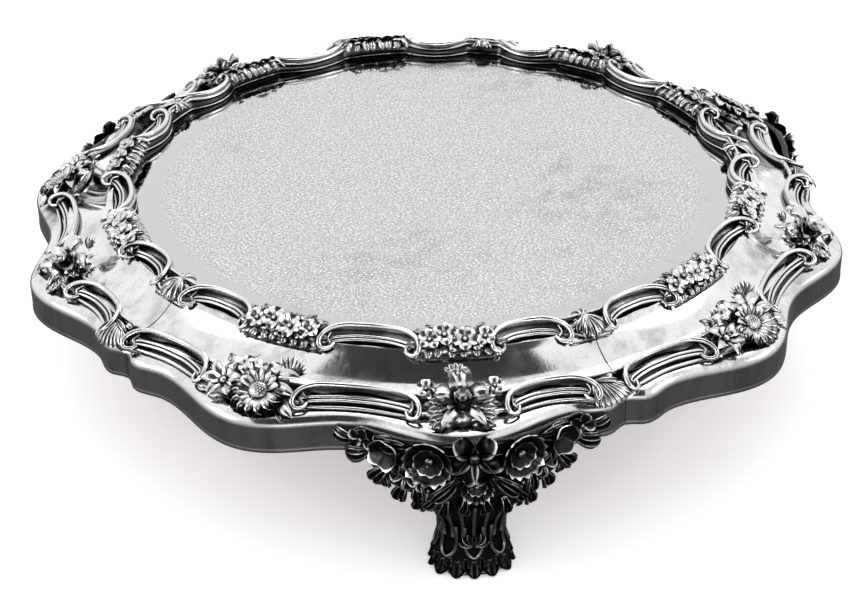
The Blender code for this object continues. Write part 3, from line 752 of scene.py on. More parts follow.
SIDE = (SHOULDER - APRON_LOW) / MM
ROLLED_EDGE = [(0.20, 0.25), (0.28, 0.9), (0.20, 1.6), (0.02, 2.2), (0.0, 4.0), (-0.02, 9.0)]
SHOULDER_TURN = [
    (0.0, SIDE - 4.9), (-0.05, SIDE - 4.0), (-0.55, SIDE - 2.7), (-1.7, SIDE - 1.4), (-3.4, SIDE - 0.5),
    (-5.6, SIDE)]
APRON_BACK = [
    (-14.0, SIDE - 0.9), (-6.0, SIDE - 0.95), (-3.2, SIDE - 1.8), (-1.2, SIDE - 4.2), (-1.0, 2.0),
    (-1.0, 0.0)]
for k in range(SECTIONS):
    outside = [(0.0, 0.0)] + rounded(ROLLED_EDGE + SHOULDER_TURN, 34) + [(-14.0, SIDE + 0.1)]
    inside = APRON_BACK
    plan = [place(apron_radius(a), a, APRON_LOW) for a in section_turns(k, OUTER_R, 97)]
    apron = swept_piece(f"apron_{k + 1}_sheet", plan, outside + inside, APRON)
    keep(apron, "polished_silver", f"apron_{k + 1}")
print("apron", len(apron.data.polygons), "faces a section")

# %% Coves
COVE_TOP_R = GLASS_R + 6.5 * MM
COVE_W = 20.5
COVE_DROP = 10.5
COVE_SHEET = 0.9
COVE_LAP = 1.08
for k in range(SECTIONS):
    shares = np.linspace(0, COVE_LAP, 19)
    face = [(-2.6, 1.2)] + [(COVE_W * s, -COVE_DROP * (1 - (1 - min(s, 1)) ** 2)) for s in shares]
    back = [(x, y - COVE_SHEET) for x, y in face[::-1]]
    plan = [place(COVE_TOP_R, a, COVE_TOP) for a in section_turns(k, COVE_TOP_R, 73)]
    cove = swept_piece(f"cove_{k + 1}_sheet", plan, face + back, PLATE)
    keep(cove, "polished_silver", f"cove_{k + 1}")
print("cove", len(cove.data.polygons), "faces a section")

# %% [markdown]
# ## The two borders
# Each border is a cast band. Between flowers it is a scroll: a thick round rim, a deep channel, two fine
# ribs and a second channel, and at each end the rim curls over into a small volute. The band is set ring
# by ring, with its channels in its section, because it bows and lifts at each scroll. The reed tree then
# lays the rim, ribs and volutes on it from lines drawn in the band's own measures.


# %% A border, its slope and its scrolls
class Border:
    """One border: a point on it is a turn, millimetres across its slope and millimetres proud of it."""

    def __init__(self, middle, bend, z, tilt, lift, scrolls):
        self.middle = middle
        self.bend = bend * MM
        self.z = z
        self.tilt = math.radians(tilt)
        self.lift = lift * MM
        self.scrolls = scrolls

    def bent(self, azimuth):
        """0 in the middle of a scroll and 1 from its ends on: each scroll bows towards the mirror."""
        turn = math.degrees(azimuth % PITCH - PITCH / 2)
        for low, high in self.scrolls:
            if low < turn < high:
                return ((2 * turn - low - high) / (high - low)) ** 2
        return 1.0

    def spot(self, azimuth, out, up):
        """A point, millimetres out and up from the border's line. The lift fades towards its foot."""
        bent = self.bent(azimuth)
        lift = self.lift * bent * min(max(1 + up / 3, 0.0), 1.0)
        return place(self.middle + self.bend * bent + out * MM, azimuth, self.z + lift + up * MM)

    def level(self, across, proud):
        """(across, proud) on the slope as (out, up)."""
        cosine, sine = math.cos(self.tilt), math.sin(self.tilt)
        return across * cosine + proud * sine, proud * cosine - across * sine

    def point(self, azimuth, across, proud):
        return self.spot(azimuth, *self.level(across, proud))

    def seat(self, azimuth, across=0.0):
        x, y, z = self.point(azimuth, across, 0.0)
        return seat(math.hypot(x, y), azimuth, z, self.tilt)

    def line(self, start, end, points, radius, count):
        """Rows (x, y, z, radius) for the reed tree; a point is (along, across, proud)."""
        length = (end - start) * self.middle / MM
        rows = smoothed(points, count)
        radius = np.interp(np.linspace(0, 1, len(rows)), np.linspace(0, 1, len(radius)), radius)
        return [
            (*self.point(start + (end - start) * s / length, w, h), r)
            for (s, w, h), r in zip(rows, radius)
        ]


BORDER_TILT = 28
BORDER_LIFT = 1.6
OUTER_SCROLLS = ((-35.7, -21.4), (-7.9, 8.4), (19.8, 32.0))
INNER_SCROLLS = ((-33.4, -20.0), (-7.2, 8.0), (19.5, 31.8))
OUTER = Border(OUTER_R - 4.8 * MM, 6.5, SHOULDER + 3.6 * MM, BORDER_TILT, BORDER_LIFT, OUTER_SCROLLS)
INNER = Border(INNER_R - 5.8 * MM, 6.6, GLASS_TOP + 3.5 * MM, BORDER_TILT, BORDER_LIFT, INNER_SCROLLS)
MOULDING = (
    (-6.6, 0.2), (-5.6, 0.8), (-4.9, 0.0), (-4.5, -1.8), (-3.6, -2.8), (-2.4, -2.9), (-1.5, -1.9),
    (-1.0, -0.4), (-0.5, 0.1), (0.7, 0.0), (1.05, -0.7), (1.4, -0.1), (2.4, -0.2), (2.9, -1.0), (3.3, -2.4),
    (3.9, -2.6), (4.4, -1.7), (5.0, -0.6), (5.8, -0.8), (6.2, -1.8))
OUTER_WALL = ((5.2, -5.0), (-5.4, -5.0), (-5.6, 0.5), (-6.0, 2.0), (-5.9, 2.8))
INNER_WALL = (
    (5.4, -4.4), (3.0, -3.4), (-6.7, -3.44), (-6.9, -3.1), (-6.5, -2.8), (-5.4, -2.3), (-4.9, -1.2),
    (-5.3, 0.0), (-6.2, 0.8), (-6.5, 1.3), (-6.3, 1.8), (-5.3, 2.4), (-5.7, 3.0))


def band(name, border, wall, undercut, node, k):
    """One section of cast band, a ring at every turn. The undercut faces get the near-black silver as
    painted shade.
    """
    turns = section_turns(k, border.middle, 181)
    section = [border.level(w, h) for w, h in MOULDING] + list(wall)
    rings = np.array([[border.spot(a, out, up) for out, up in section] for a in turns])
    ends = [rings[i].mean(0) for i in (0, -1)]
    points, faces = closed_rings(rings / MM, ends[0] / MM, ends[1] / MM)
    obj = mesh_object(name, (points, faces), CAST)
    # The undercut faces take the near-black silver: painted shade for the dark that these walls reflect.
    obj.data.materials.append(DARK_CAST)
    first, last = (len(MOULDING) + at for at in undercut)
    for polygon in obj.data.polygons[:(len(turns) - 1) * len(section)]:
        if first <= polygon.index % len(section) < last:
            polygon.material_index = 1
    turn_outwards(obj.data)
    return keep(obj, "cast_silver", node)


def scroll_lines(border, start, end):
    """The rim with a volute at each end, the strut in each volute, the far rim and the ribs."""
    length = (end - start) * border.middle / MM
    near, far = -5.6, 5.2
    curl = [(5.6, far - 1.4, 0.9), (4.6, far + 1.1, 1.7), (1.9, far + 1.7, 2.1), (-0.1, far - 0.5, 2.1),
            (-0.4, near + 7.0, 1.9), (1.1, near + 3.2, 1.6), (4.4, near + 0.9, 1.4), (9.0, near, 1.4)]
    middle = [(length * s, near, 1.4) for s in (0.3, 0.4, 0.5, 0.6, 0.7)]
    rim = curl + middle + [(length - s, w, h) for s, w, h in reversed(curl)]
    thick = [0.7, 0.95, 1.1, 1.2, 1.25] + [1.3] * 8 + [1.25, 1.2, 1.1, 0.95, 0.7]
    lines = [border.line(start, end, rim, thick, 96)]
    lip = [(4.0, far - 0.4, -0.1)]
    lip += [(length * s, far, -0.3) for s in (0.25, 0.5, 0.75)]
    lip += [(length - 4.0, far - 0.4, -0.1)]
    lines.append(border.line(start, end, lip, [0.6, 0.95, 1.0, 0.95, 0.6], 40))
    for across in (0.1, 2.0):
        rib = [(3.2, across + 2.6, 0.1), (4.6, across + 0.8, 0.3)]
        rib += [(length * s, across - 0.1, 0.3) for s in (0.3, 0.5, 0.7)]
        rib += [(length - 4.6, across + 0.8, 0.3), (length - 3.2, across + 2.6, 0.1)]
        lines.append(border.line(start, end, rib, [0.4, 0.7, 0.85, 0.85, 0.85, 0.7, 0.4], 48))
    for side in (0, 1):
        strut = [(3.0, near + 3.6, 0.7), (2.5, near + 7.0, 0.9)]
        strut += [(3.4, far - 2.4, 0.8), (4.8, far - 0.6, 0.5)]
        if side:
            strut = [(length - s, w, h) for s, w, h in strut]
        lines.append(border.line(start, end, strut, [0.4, 0.6, 0.6, 0.5], 14))
    return lines


for k in range(SECTIONS):
    centre = (k - 0.5) * PITCH
    band(f"outer_border_{k + 1}_band", OUTER, OUTER_WALL, (1, 3), f"outer_border_{k + 1}", k)
    band(f"inner_border_{k + 1}_band", INNER, INNER_WALL, (4, 8), f"inner_border_{k + 1}", k)
    for label, border in (("outer", OUTER), ("inner", INNER)):
        lines = []
        for low, high in border.scrolls:
            lines += scroll_lines(border, centre + math.radians(low), centre + math.radians(high))
        drawn = drawn_lines("lines", lines)
        reeds = grow(f"{label}_border_{k + 1}_scrolls", drawn, reed, Sides=10, Flatness=1.0, Finish=CAST)
        keep(reeds, "cast_silver")
print("scrolls", len(reeds.data.polygons), "faces a section")

# %% [markdown]
# ## Flowers and leaves of the borders
# A cast flower is a dozen thin, cupped and curled blades round a seeded centre. Each blade is a small
# grid of points: its length bends along a curve, its width follows a leaf's outline, and its middle is
# creased or fluted. Two clusters alternate: a sunflower among pointed leaves, and an orchid with two long
# drooping leaves.


# %% Flowers from petals
def bowl(radius, depth, ruffle=0.0, waves=10, thick=0.8, lean=1.6, rows=9, columns=60):
    """A shell or a cup: a ruffled disc that rises to its rim."""
    t = np.linspace(0.08, 1.0, rows)[:, None]
    w = np.linspace(0.0, math.tau, columns, endpoint=False)[None, :]
    wave = np.cos(waves * w)
    reach = radius * t * (1 + 0.05 * wave * t)
    rise = depth * t ** lean + ruffle * wave * t ** 2.5
    top = np.stack([reach * np.cos(w), reach * np.sin(w), rise], -1)
    low = np.stack([reach * np.cos(w), reach * np.sin(w), rise - thick * (1.25 - 0.6 * t)], -1)
    return closed_rings(np.concatenate([top, low[::-1]]), (0, 0, 0.0), (0, 0, -thick))


def petals(count, petal, out=0.0, start=0.0, spread=360.0, pitch=0.0, x=0.0, y=0.0, z=0.0, size=1.0):
    """Places copies of one petal round a centre."""
    middle = moved(x, y, z, size=size)
    return [
        (petal, middle @ moved(turn=start + spread * k / count) @ moved(x=out, pitch=pitch))
        for k in range(count)
    ]


def gather(casting, rows, matrix):
    for solid, local in rows:
        casting.add(solid, matrix @ local)
    return casting


def daisy(x, y, z, radius, count, start=0.0):
    """A small open flower with cupped petals and a button."""
    petal = blade(radius, radius, lift=38, curl=-62, cup=0.32, root=0.3, wide_at=0.66, point=0.4, thick=0.6,
                  rows=7, columns=7)
    rows = petals(count, petal, out=radius * 0.16, start=start, x=x, y=y, z=z)
    rows.append((dome(radius * 0.24, radius * 0.24, radius * 0.34, rows=5, columns=12), moved(x, y, z)))
    return rows


def leaf(x, y, z, turn, length, width, lift=24, curl=-50, sway=0.0, lobes=3, notch=0.42, roll=0.0):
    """A creased leaf with lobed edges."""
    solid = blade(length, width, lift=lift, curl=curl, sway=sway, lobes=lobes, notch=notch, cup=-0.28,
                  rib=0.55, flute=0.22, flutes=4, root=0.30, wide_at=0.45, point=0.7, thick=0.8, rows=15,
                  columns=11)
    return [(solid, moved(x, y, z, turn=turn, roll=roll))]


def fluted_blade(x, y, z, turn, length, width, lift=30, curl=-60, sway=0.0, roll=0.0):
    """An acanthus blade: narrow root, broad fluted end that rolls over."""
    solid = blade(length, width, lift=lift, curl=curl, sway=sway, cup=0.25, flute=0.32, flutes=3, root=0.25,
                  wide_at=0.72, point=0.35, thick=0.75, rows=13, columns=11)
    return [(solid, moved(x, y, z, turn=turn, roll=roll))]


def seed_grid(x, y, z, radius, step, height):
    """Points for seeds in a close pattern over a low dome."""
    spots = []
    reach = int(radius / step) + 1
    for i in range(-reach, reach + 1):
        for j in range(-reach, reach + 1):
            u = (i + 0.5 * (j % 2)) * step
            v = j * step * 0.87
            if u * u + v * v < radius * radius:
                spots.append((x + u, y + v, z + height * (1 - (u * u + v * v) / radius ** 2)))
    return spots


# %% The orchid cluster
ORCHID_LEAVES = ((-0.5, 8, 9.5), (-3.6, -4, 10.5), (-6.6, -16, 10.5), (-9.4, -30, 9.5), (4.6, 24, 8.5))


def orchid_cluster():
    rows = [(dome(19, 8.5, 3.0, lumps=0.05, seed=3), moved(0, -1.0, -2.6))]
    rows.append((dome(8.5, 10.5, 4.2, lumps=0.05, seed=8), moved(0, 0, -2.2)))
    hood = blade(10.5, 11.0, lift=64, curl=-80, cup=0.85, root=0.5, wide_at=0.6, point=0.35, ruffle=0.4,
                 ruffles=5, thick=0.8, rows=13, columns=13)
    side = blade(9.6, 9.4, lift=44, curl=-60, cup=0.80, root=0.35, wide_at=0.62, point=0.35, ruffle=0.3,
                 thick=0.8, rows=11, columns=11)
    lip = blade(5.6, 4.8, lift=66, curl=-50, cup=0.9, root=0.6, wide_at=0.5, point=0.5, thick=0.7)
    fold = dict(lift=34, curl=-78, cup=-0.5, rib=0.9, root=0.6, wide_at=0.3, point=0.9, ruffle=0.3,
                thick=0.9)
    droop = blade(17.0, 4.8, sway=34, rows=17, columns=11, **fold)
    mirrored = blade(17.0, 4.8, sway=-34, rows=17, columns=11, **fold)
    rows.append((hood, moved(-0.4, 4.6, 1.2, turn=93)))
    rows.append((side, moved(-3.2, 0.8, 1.4, turn=172)))
    rows.append((side, moved(3.4, 1.2, 1.4, turn=4)))
    rows.append((lip, moved(0.2, 0.2, 1.0, turn=-92)))
    rows.append((bowl(4.0, 3.4, ruffle=0.25, waves=7, lean=2.4, columns=42), moved(0.2, -0.4, 3.4)))
    rows.append((droop, moved(-0.8, -3.4, 2.2, turn=-146)))
    rows.append((mirrored, moved(1.2, -3.4, 2.2, turn=-34)))
    rows.append((bowl(2.6, 2.2, ruffle=0.2, waves=5, columns=30), moved(0.2, -4.6, 2.6)))
    spray = blade(6.4, 3.0, lift=40, curl=-30, cup=0.5, root=0.35, point=0.5, thick=0.7)
    rows += petals(5, spray, start=40, spread=125, x=-1.6, y=12.2, z=-0.2, out=1.2)
    for sign in (-1, 1):
        flip = 180 if sign < 0 else 0
        for y, turn, length in ORCHID_LEAVES:
            rows += leaf(7.0 * sign, y, 1.2, flip + turn * sign, length, 5.4, lift=36, curl=-80)
        rows += daisy(15.6 * sign, 8.4, -1.4, 4.2, 5, start=20)
        rows += daisy(12.0 * sign, 4.0, 0.2, 3.4, 5, start=50)
    return rows


# %% The sunflower cluster
CURLED_LEAVES = (
    (-3.5, 2.6, 118), (1.5, 2.4, 84), (5.5, 4.4, 60), (-8.0, 4.0, 140), (-1.0, 5.6, 100), (-5.0, -3.0, 150))
OUTLYING_LEAVES = (
    (-12, 5.5, 130), (-17, 3.0, 165), (-18.5, -4.5, 195), (-11, -8.5, 236), (13, -9.0, -40), (17.0, 0.5, -4))


def sunflower_cluster():
    """The cluster, and the points for the seeds in the flower's middle."""
    rows = [(dome(22, 9.0, 3.2, lumps=0.05, seed=5), moved(-1, -0.5, -2.6))]
    rows.append((dome(7.5, 6.5, 4.8, lumps=0.02, seed=6), moved(3.6, -3.5, -2.0)))
    ray = blade(10.6, 6.8, lift=36, curl=-66, cup=0.25, rib=0.4, ruffle=0.9, ruffles=4, root=0.5,
                wide_at=0.7, point=0.45, thick=0.7, columns=13)
    rows += petals(8, ray, out=2.8, start=-172, spread=190, x=3.6, y=-3.5, z=1.0)
    back_ray = blade(7.5, 4.2, lift=46, curl=-50, cup=0.35, root=0.45, wide_at=0.6, point=0.5, thick=0.7)
    rows += petals(6, back_ray, out=2.6, start=20, spread=168, x=3.6, y=-3.0, z=1.0)
    rows.append((dome(4.6, 4.3, 1.8, rows=6, columns=20), moved(3.6, -3.0, 1.8)))
    star = blade(9.4, 5.6, lift=40, curl=-56, cup=0.5, rib=0.5, root=0.35, wide_at=0.42, point=0.8,
                 thick=0.7)
    rows += petals(6, star, out=1.2, start=12, x=-14.2, y=-2.0, z=-0.2)
    rows.append((dome(1.9, 1.9, 1.6, rows=5, columns=12), moved(-14.2, -2.0, 0.4)))
    eye = blade(13.0, 5.4, lift=26, curl=-50, sway=-20, cup=0.55, rib=0.6, root=0.25, wide_at=0.5, point=0.8,
                thick=0.8, rows=13, columns=11)
    for x, y, z, turn in ((7.6, -0.6, 1.0, 4), (7.0, 3.8, 0.6, 26), (11.0, -6.0, -0.8, -14)):
        rows.append((eye, moved(x, y, z, turn=turn)))
    curled = blade(10.0, 6.0, lift=62, curl=-130, sway=35, cup=0.3, rib=0.5, root=0.4, wide_at=0.5,
                   point=0.6, ruffle=0.3, thick=0.8, rows=13, columns=9)
    for x, y, turn in CURLED_LEAVES:
        rows.append((curled, moved(x, y, -0.2, turn=turn)))
    for x, y, turn in OUTLYING_LEAVES:
        rows += leaf(x, y, -1.0, turn, 8.4, 5.6)
    spray = blade(8.6, 2.8, lift=34, curl=-20, cup=0.5, root=0.4, point=0.6, thick=0.7)
    rows += petals(7, spray, start=20, spread=130, x=13.5, y=7.5, z=-1.6, out=1.2)
    rows += daisy(-8.0, 9.0, -1.8, 3.6, 5)
    return rows, seed_grid(3.6, -3.0, 2.1, 4.2, 1.25, 1.6)


# %% The small clusters of the inner border
POSY_FLOWERS = (
    (-13.0, 1.0, 4.8), (-4.6, 3.2, 5.4), (4.6, 1.0, 5.6), (13.4, 1.8, 4.6), (0.4, -2.6, 3.4),
    (9.6, -2.0, 3.2))
# Three rows of leaves: half the row's length, how many, y, z, the middle one's turn, the fan in degrees a
# millimetre, the play in each turn, and each leaf's length, width, lift and curl.
POSY_LEAVES = (
    (17.5, 8, -3.0, -0.5, -90, 2.0, 14, 6.4, 4.6, 30, -95),
    (16.0, 7, 3.4, -0.8, 90, -2.4, 16, 5.6, 4.0, 24, -60),
    (16.0, 8, 5.8, 0.4, 90, -1.2, 14, 8.6, 5.4, -26, -66),
)


def posy_cluster(seed):
    rng = np.random.default_rng(seed)
    rows = [(dome(19, 6.4, 3.6, lumps=0.08, seed=seed), moved(0, 0.4, -3.8))]
    for x, y, radius in POSY_FLOWERS:
        x += float(rng.uniform(-1.2, 1.2))
        rows += daisy(x, y + float(rng.uniform(-0.8, 0.8)), 0.6, radius, 5, start=float(rng.uniform(0, 72)))
    for reach, count, y, z, middle, fan, play, length, width, lift, curl in POSY_LEAVES:
        for x in np.linspace(-reach, reach, count):
            turn = middle + x * fan + float(rng.uniform(-play, play))
            rows += leaf(float(x), y, z, turn, length, width, lift=lift, curl=curl, lobes=1, notch=0.2)
    for sign in (-1, 1):
        flip = 180 if sign < 0 else 0
        rows += leaf(16.5 * sign, -0.5, -0.6, flip, 7.6, 4.4, lobes=2, notch=0.3)
        rows += leaf(9.0 * sign, 5.6, -0.8, flip + 40 * sign, 6.6, 4.0, lobes=2, notch=0.3)
    return rows


# %% Leaves over the joints
def acanthus_rows():
    """A leaf whose rib runs from the scroll to the seam; its blades sweep down over the shoulder."""
    rows = [(dome(10.0, 8.0, 2.4, lumps=0.03, seed=4), moved(3.0, -2.0, -2.4))]
    for step in range(9):
        share = step / 8
        x, y = -7.5 + 11.5 * share, 5.0 - 2.0 * share ** 2
        length = 15.5 + 7.0 * math.sin(math.pi * (0.25 + 0.6 * share))
        z, turn, sway = 1.0 - 0.6 * share, -104 + 62 * share, 10 + 16 * share
        rows += fluted_blade(x, y, z, turn, length, 4.6, lift=24, curl=-58, sway=sway)
    rows += fluted_blade(-7.0, 5.6, 1.2, -8, 19.0, 3.8, lift=22, curl=-44, sway=-12)
    hook = blade(11.0, 3.6, lift=40, curl=-150, sway=-40, cup=0.4, root=0.5, wide_at=0.4, point=0.6,
                 thick=0.9, rows=15)
    rows.append((hook, moved(3.0, 6.4, -0.4, turn=16)))
    rows.append((hook, moved(1.0, 7.0, -0.8, turn=52, size=0.8)))
    return rows


def joint_leaf_rows():
    """The inner border's leaf: a fan of blades away from the mirror, and a shorter one over its wall."""
    rows = [(dome(9.5, 6.0, 2.6, lumps=0.03, seed=2), moved(0.5, 0.0, -2.0))]
    for turn, length in ((-128, 11.5), (-108, 13.0), (-88, 14.0), (-68, 13.5), (-48, 12.0)):
        rows += fluted_blade(0.0, 5.0, 0.6, turn, length, 4.2, lift=26, curl=-60)
    for turn in (20, 52, 90, 128, 160):
        rows += fluted_blade(0.0, 4.2, 0.6, turn, 8.2, 3.8, lift=0, curl=-80)
    for sign in (-1, 1):
        rows += leaf(5.0 * sign, 0.0, 0.2, 0 if sign > 0 else 180, 7.5, 4.6, lobes=2)
    return rows


# %% Place the clusters and leaves
def cast_piece(name, placed_rows):
    casting = Casting()
    for rows, matrix in placed_rows:
        gather(casting, rows, matrix)
    return keep(mesh_object(name, casting.solid(), CAST), "cast_silver")


SUNFLOWER_SIZE = 1.08
ACANTHUS_SIZE = 0.66
ACANTHUS_TURN = math.radians(33.2)
JOINT_LEAF_TURN = PITCH / 2 - math.radians(0.6)
POSY_PROUD = 1.0
POSY_SEEDS = (11, 23)
orchid_rows = orchid_cluster()
sunflower_rows, seed_spots = sunflower_cluster()
acanthus = acanthus_rows()
joint_leaf = joint_leaf_rows()
for k in range(SECTIONS):
    centre = (k - 0.5) * PITCH
    sunflower_seat = OUTER.seat(centre - FLOWER_TURN, -1.6) @ moved(size=SUNFLOWER_SIZE)
    cast_piece(f"sunflower_{k + 1}", [(sunflower_rows, sunflower_seat)])
    cast_piece(f"orchid_{k + 1}", [(orchid_rows, OUTER.seat(centre + FLOWER_TURN, -2.0))])
    acanthus_seat = OUTER.seat(centre + ACANTHUS_TURN, 0.6) @ moved(size=ACANTHUS_SIZE)
    cast_piece(f"acanthus_{k + 1}", [(acanthus, acanthus_seat)])
    for n, (sign, seed) in enumerate(zip((-1, 1), POSY_SEEDS), 1):
        posy_seat = INNER.seat(centre + sign * FLOWER_TURN, -0.8) @ moved(z=POSY_PROUD)
        cast_piece(f"posy_{2 * k + n}", [(posy_cluster(seed), posy_seat)])
    cast_piece(f"joint_leaf_{k + 1}", [(joint_leaf, INNER.seat(centre + JOINT_LEAF_TURN))])
    spots = np.array(seed_spots) * MM @ sunflower_seat[:3, :3].T + sunflower_seat[:3, 3]
    grown = grow(f"sunflower_seeds_{k + 1}", drawn_points("spots", spots), seeds,
                 Seed_radius=0.62 * MM, Size_spread=0.2, Finish=CAST)
    keep(grown, "cast_silver")
print("a sunflower has", sum(len(s[1]) for s, _ in sunflower_rows), "faces and", len(seed_spots), "seeds")

# %% [markdown]
# ## Three cast feet
# Each foot is one deep casting: a bracket that hugs the apron, thick with flowers and shells, a fluted
# stem and a leafy sole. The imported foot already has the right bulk, so a copy of it is remeshed into an
# even skin. Rays cast at that skin then give the spot and the lean for every flower, rib and leaf, so
# they all sit on it. The two rear feet carry theirs lower, and the tops of their brackets are pressed
# down, so that less of them shows over the borders from the front.

# %% A foot's skin and the rays that find it
from mathutils.bvhtree import BVHTree

FOOT_SLEW = math.radians(1.15)
FOOT_TURNS = (FLOWER_TURN - PITCH / 2 + FOOT_SLEW, 1.5 * PITCH - FLOWER_TURN - FOOT_SLEW, 3 * PITCH)
FOOT_VOXEL = 0.85 * MM
FOOT_RAISED = (2.5, -8.0, -8.0)
REAR_TOP = 75.0 * MM
REAR_SQUEEZE = 0.1
STEM_IN = 17.0
STEM_ACROSS = 16.3
STEM_DEEP = 12.5
STEM_SECTIONS = {"drops": 18, "skirt": 14, "ribs": 20, "loops": 8}


def foot_skin(name, node, finish):
    """A merged, evenly remeshed copy of a packed foot."""
    mesh = node.data.copy()
    turn_outwards(mesh)
    mesh.materials.clear()
    obj = bpy.data.objects.new("skin", mesh)
    bpy.context.scene.collection.objects.link(obj)
    remesh = obj.modifiers.new("even", "REMESH")
    remesh.mode = "VOXEL"
    remesh.voxel_size = FOOT_VOXEL
    relax = obj.modifiers.new("relax", "SMOOTH")
    relax.iterations = 6
    relax.factor = 0.5
    graph = bpy.context.evaluated_depsgraph_get()
    even = bpy.data.meshes.new_from_object(obj.evaluated_get(graph), depsgraph=graph)
    bpy.data.objects.remove(obj)
    even.name = name
    even.materials.clear()
    even.materials.append(finish)
    even.shade_smooth()
    skin = bpy.data.objects.new(name, even)
    bpy.context.scene.collection.objects.link(skin)
    return skin


class FootFace:
    """Finds spots on a foot: from the front by (across, height), or round the stem by (turn, height)."""

    def __init__(self, skin, azimuth):
        vertices = [v.co.copy() for v in skin.data.vertices]
        self.tree = BVHTree.FromPolygons(vertices, [tuple(p.vertices) for p in skin.data.polygons])
        self.out = Vector(place(1.0, azimuth, 0.0))
        self.along = Vector((math.cos(azimuth), math.sin(azimuth), 0.0))
        self.axis = self.out * (apron_radius(azimuth) - STEM_IN * MM)

    def cast(self, origin, direction):
        spot, normal, _, _ = self.tree.ray_cast(origin, direction)
        return (spot, normal) if spot is not None else (None, None)

    def front(self, across, height):
        origin = self.out * 0.5 + self.along * across * MM + Vector((0, 0, height * MM))
        return self.cast(origin, -self.out)

    def round_stem(self, turn, height):
        way = self.out * math.cos(turn) + self.along * math.sin(turn)
        origin = self.axis + Vector((0, 0, height * MM))
        return self.cast(origin + way * 0.06, -way)

    def seat(self, spot, normal, lean=0.55):
        """A frame on the skin: Y is up, Z out; the normal is evened towards level."""
        face = Vector((normal.x, normal.y, normal.z * lean)).normalized()
        along = Vector((0, 0, 1)).cross(face).normalized()
        matrix = np.eye(4)
        matrix[:3, 0] = along
        matrix[:3, 1] = face.cross(along)
        matrix[:3, 2] = face
        matrix[:3, 3] = spot
        return matrix


def stem_turn(share):
    """Spreads turns evenly round the stem's oblong section."""
    t = math.tau * share
    return math.atan2(STEM_ACROSS * math.sin(t), STEM_DEEP * math.cos(t))


# %% What a foot carries
def curled_flower(radius, count):
    """Spoon-shaped petals that curl forward at their tips."""
    spoon = blade(radius, radius * 0.86, lift=52, curl=-105, cup=0.75, root=0.35, wide_at=0.62, point=0.35,
                  thick=1.0, rows=13, columns=9)
    rows = petals(count, spoon, out=radius * 0.2, start=90 - 180 / count)
    rows.append((dome(radius * 0.26, radius * 0.26, 2.6, rows=5, columns=14), moved(z=0.8)))
    return rows


def ruffled_shell(radius, turn=0.0):
    rows = [(bowl(radius, 4.6, ruffle=0.75, waves=15, thick=1.3, lean=2.2), moved(turn=turn, z=0.6))]
    rows.append((bowl(radius * 0.62, 2.4, ruffle=0.4, waves=9, thick=1.0), moved(turn=turn, z=1.0)))
    rows.append((dome(radius * 0.2, radius * 0.2, 1.8, rows=5, columns=12), moved(z=1.6)))
    return rows


def trumpet(radius):
    horn = bowl(radius, 5.2, ruffle=0.9, waves=5, thick=1.1, lean=1.2, columns=40)
    tongue = blade(radius, 4.4, lift=20, curl=-40, cup=0.3, thick=0.9)
    return [(horn, moved(z=0.4))] + petals(5, tongue, out=1.5)


def rope_leaf(length, width, turn, sway=0.0):
    solid = blade(length, width, lift=34, curl=-70, sway=sway, cup=0.28, flute=0.75, flutes=3, root=0.35,
                  wide_at=0.66, point=0.4, thick=1.3, rows=17, columns=17)
    return [(solid, moved(turn=turn, z=0.3))]


# One side of the bracket; the other mirrors it. Each row: across, height, turn, length, width and sway.
BRACKET_LEAVES = (
    (53, 72, -10, 12, 9.0, 30), (47, 68, -28, 14, 9.0, 20), (39, 62, -40, 14, 8.5, -20),
    (31, 56, -58, 13, 8.0, -20), (24, 49, -70, 12, 7.5, -10), (30, 75, 12, 13, 8.0, -20),
    (44, 75, 160, 12, 8.0, 30), (26, 58, -100, 12, 7.0, 20), (8, 60, -30, 17, 8.0, -25),
    (17, 53, -58, 12, 6.5, 10), (36, 67, 190, 12, 7.0, 20), (55, 75, -130, 11, 7.0, 10),
    (34, 70, -80, 11, 7.0, 10), (40, 58, -100, 8, 6.0, 10),
)
# Flowers on one side: across, height, radius, petals, the flower's own rise and how proud it stands.
BRACKET_DAISIES = (
    (50.0, 73.0, 6.0, 5, 0.2, 0.0), (31.5, 60.5, 6.4, 6, 0.4, 0.4), (21.0, 55.0, 5.6, 5, 0.4, 0.4))


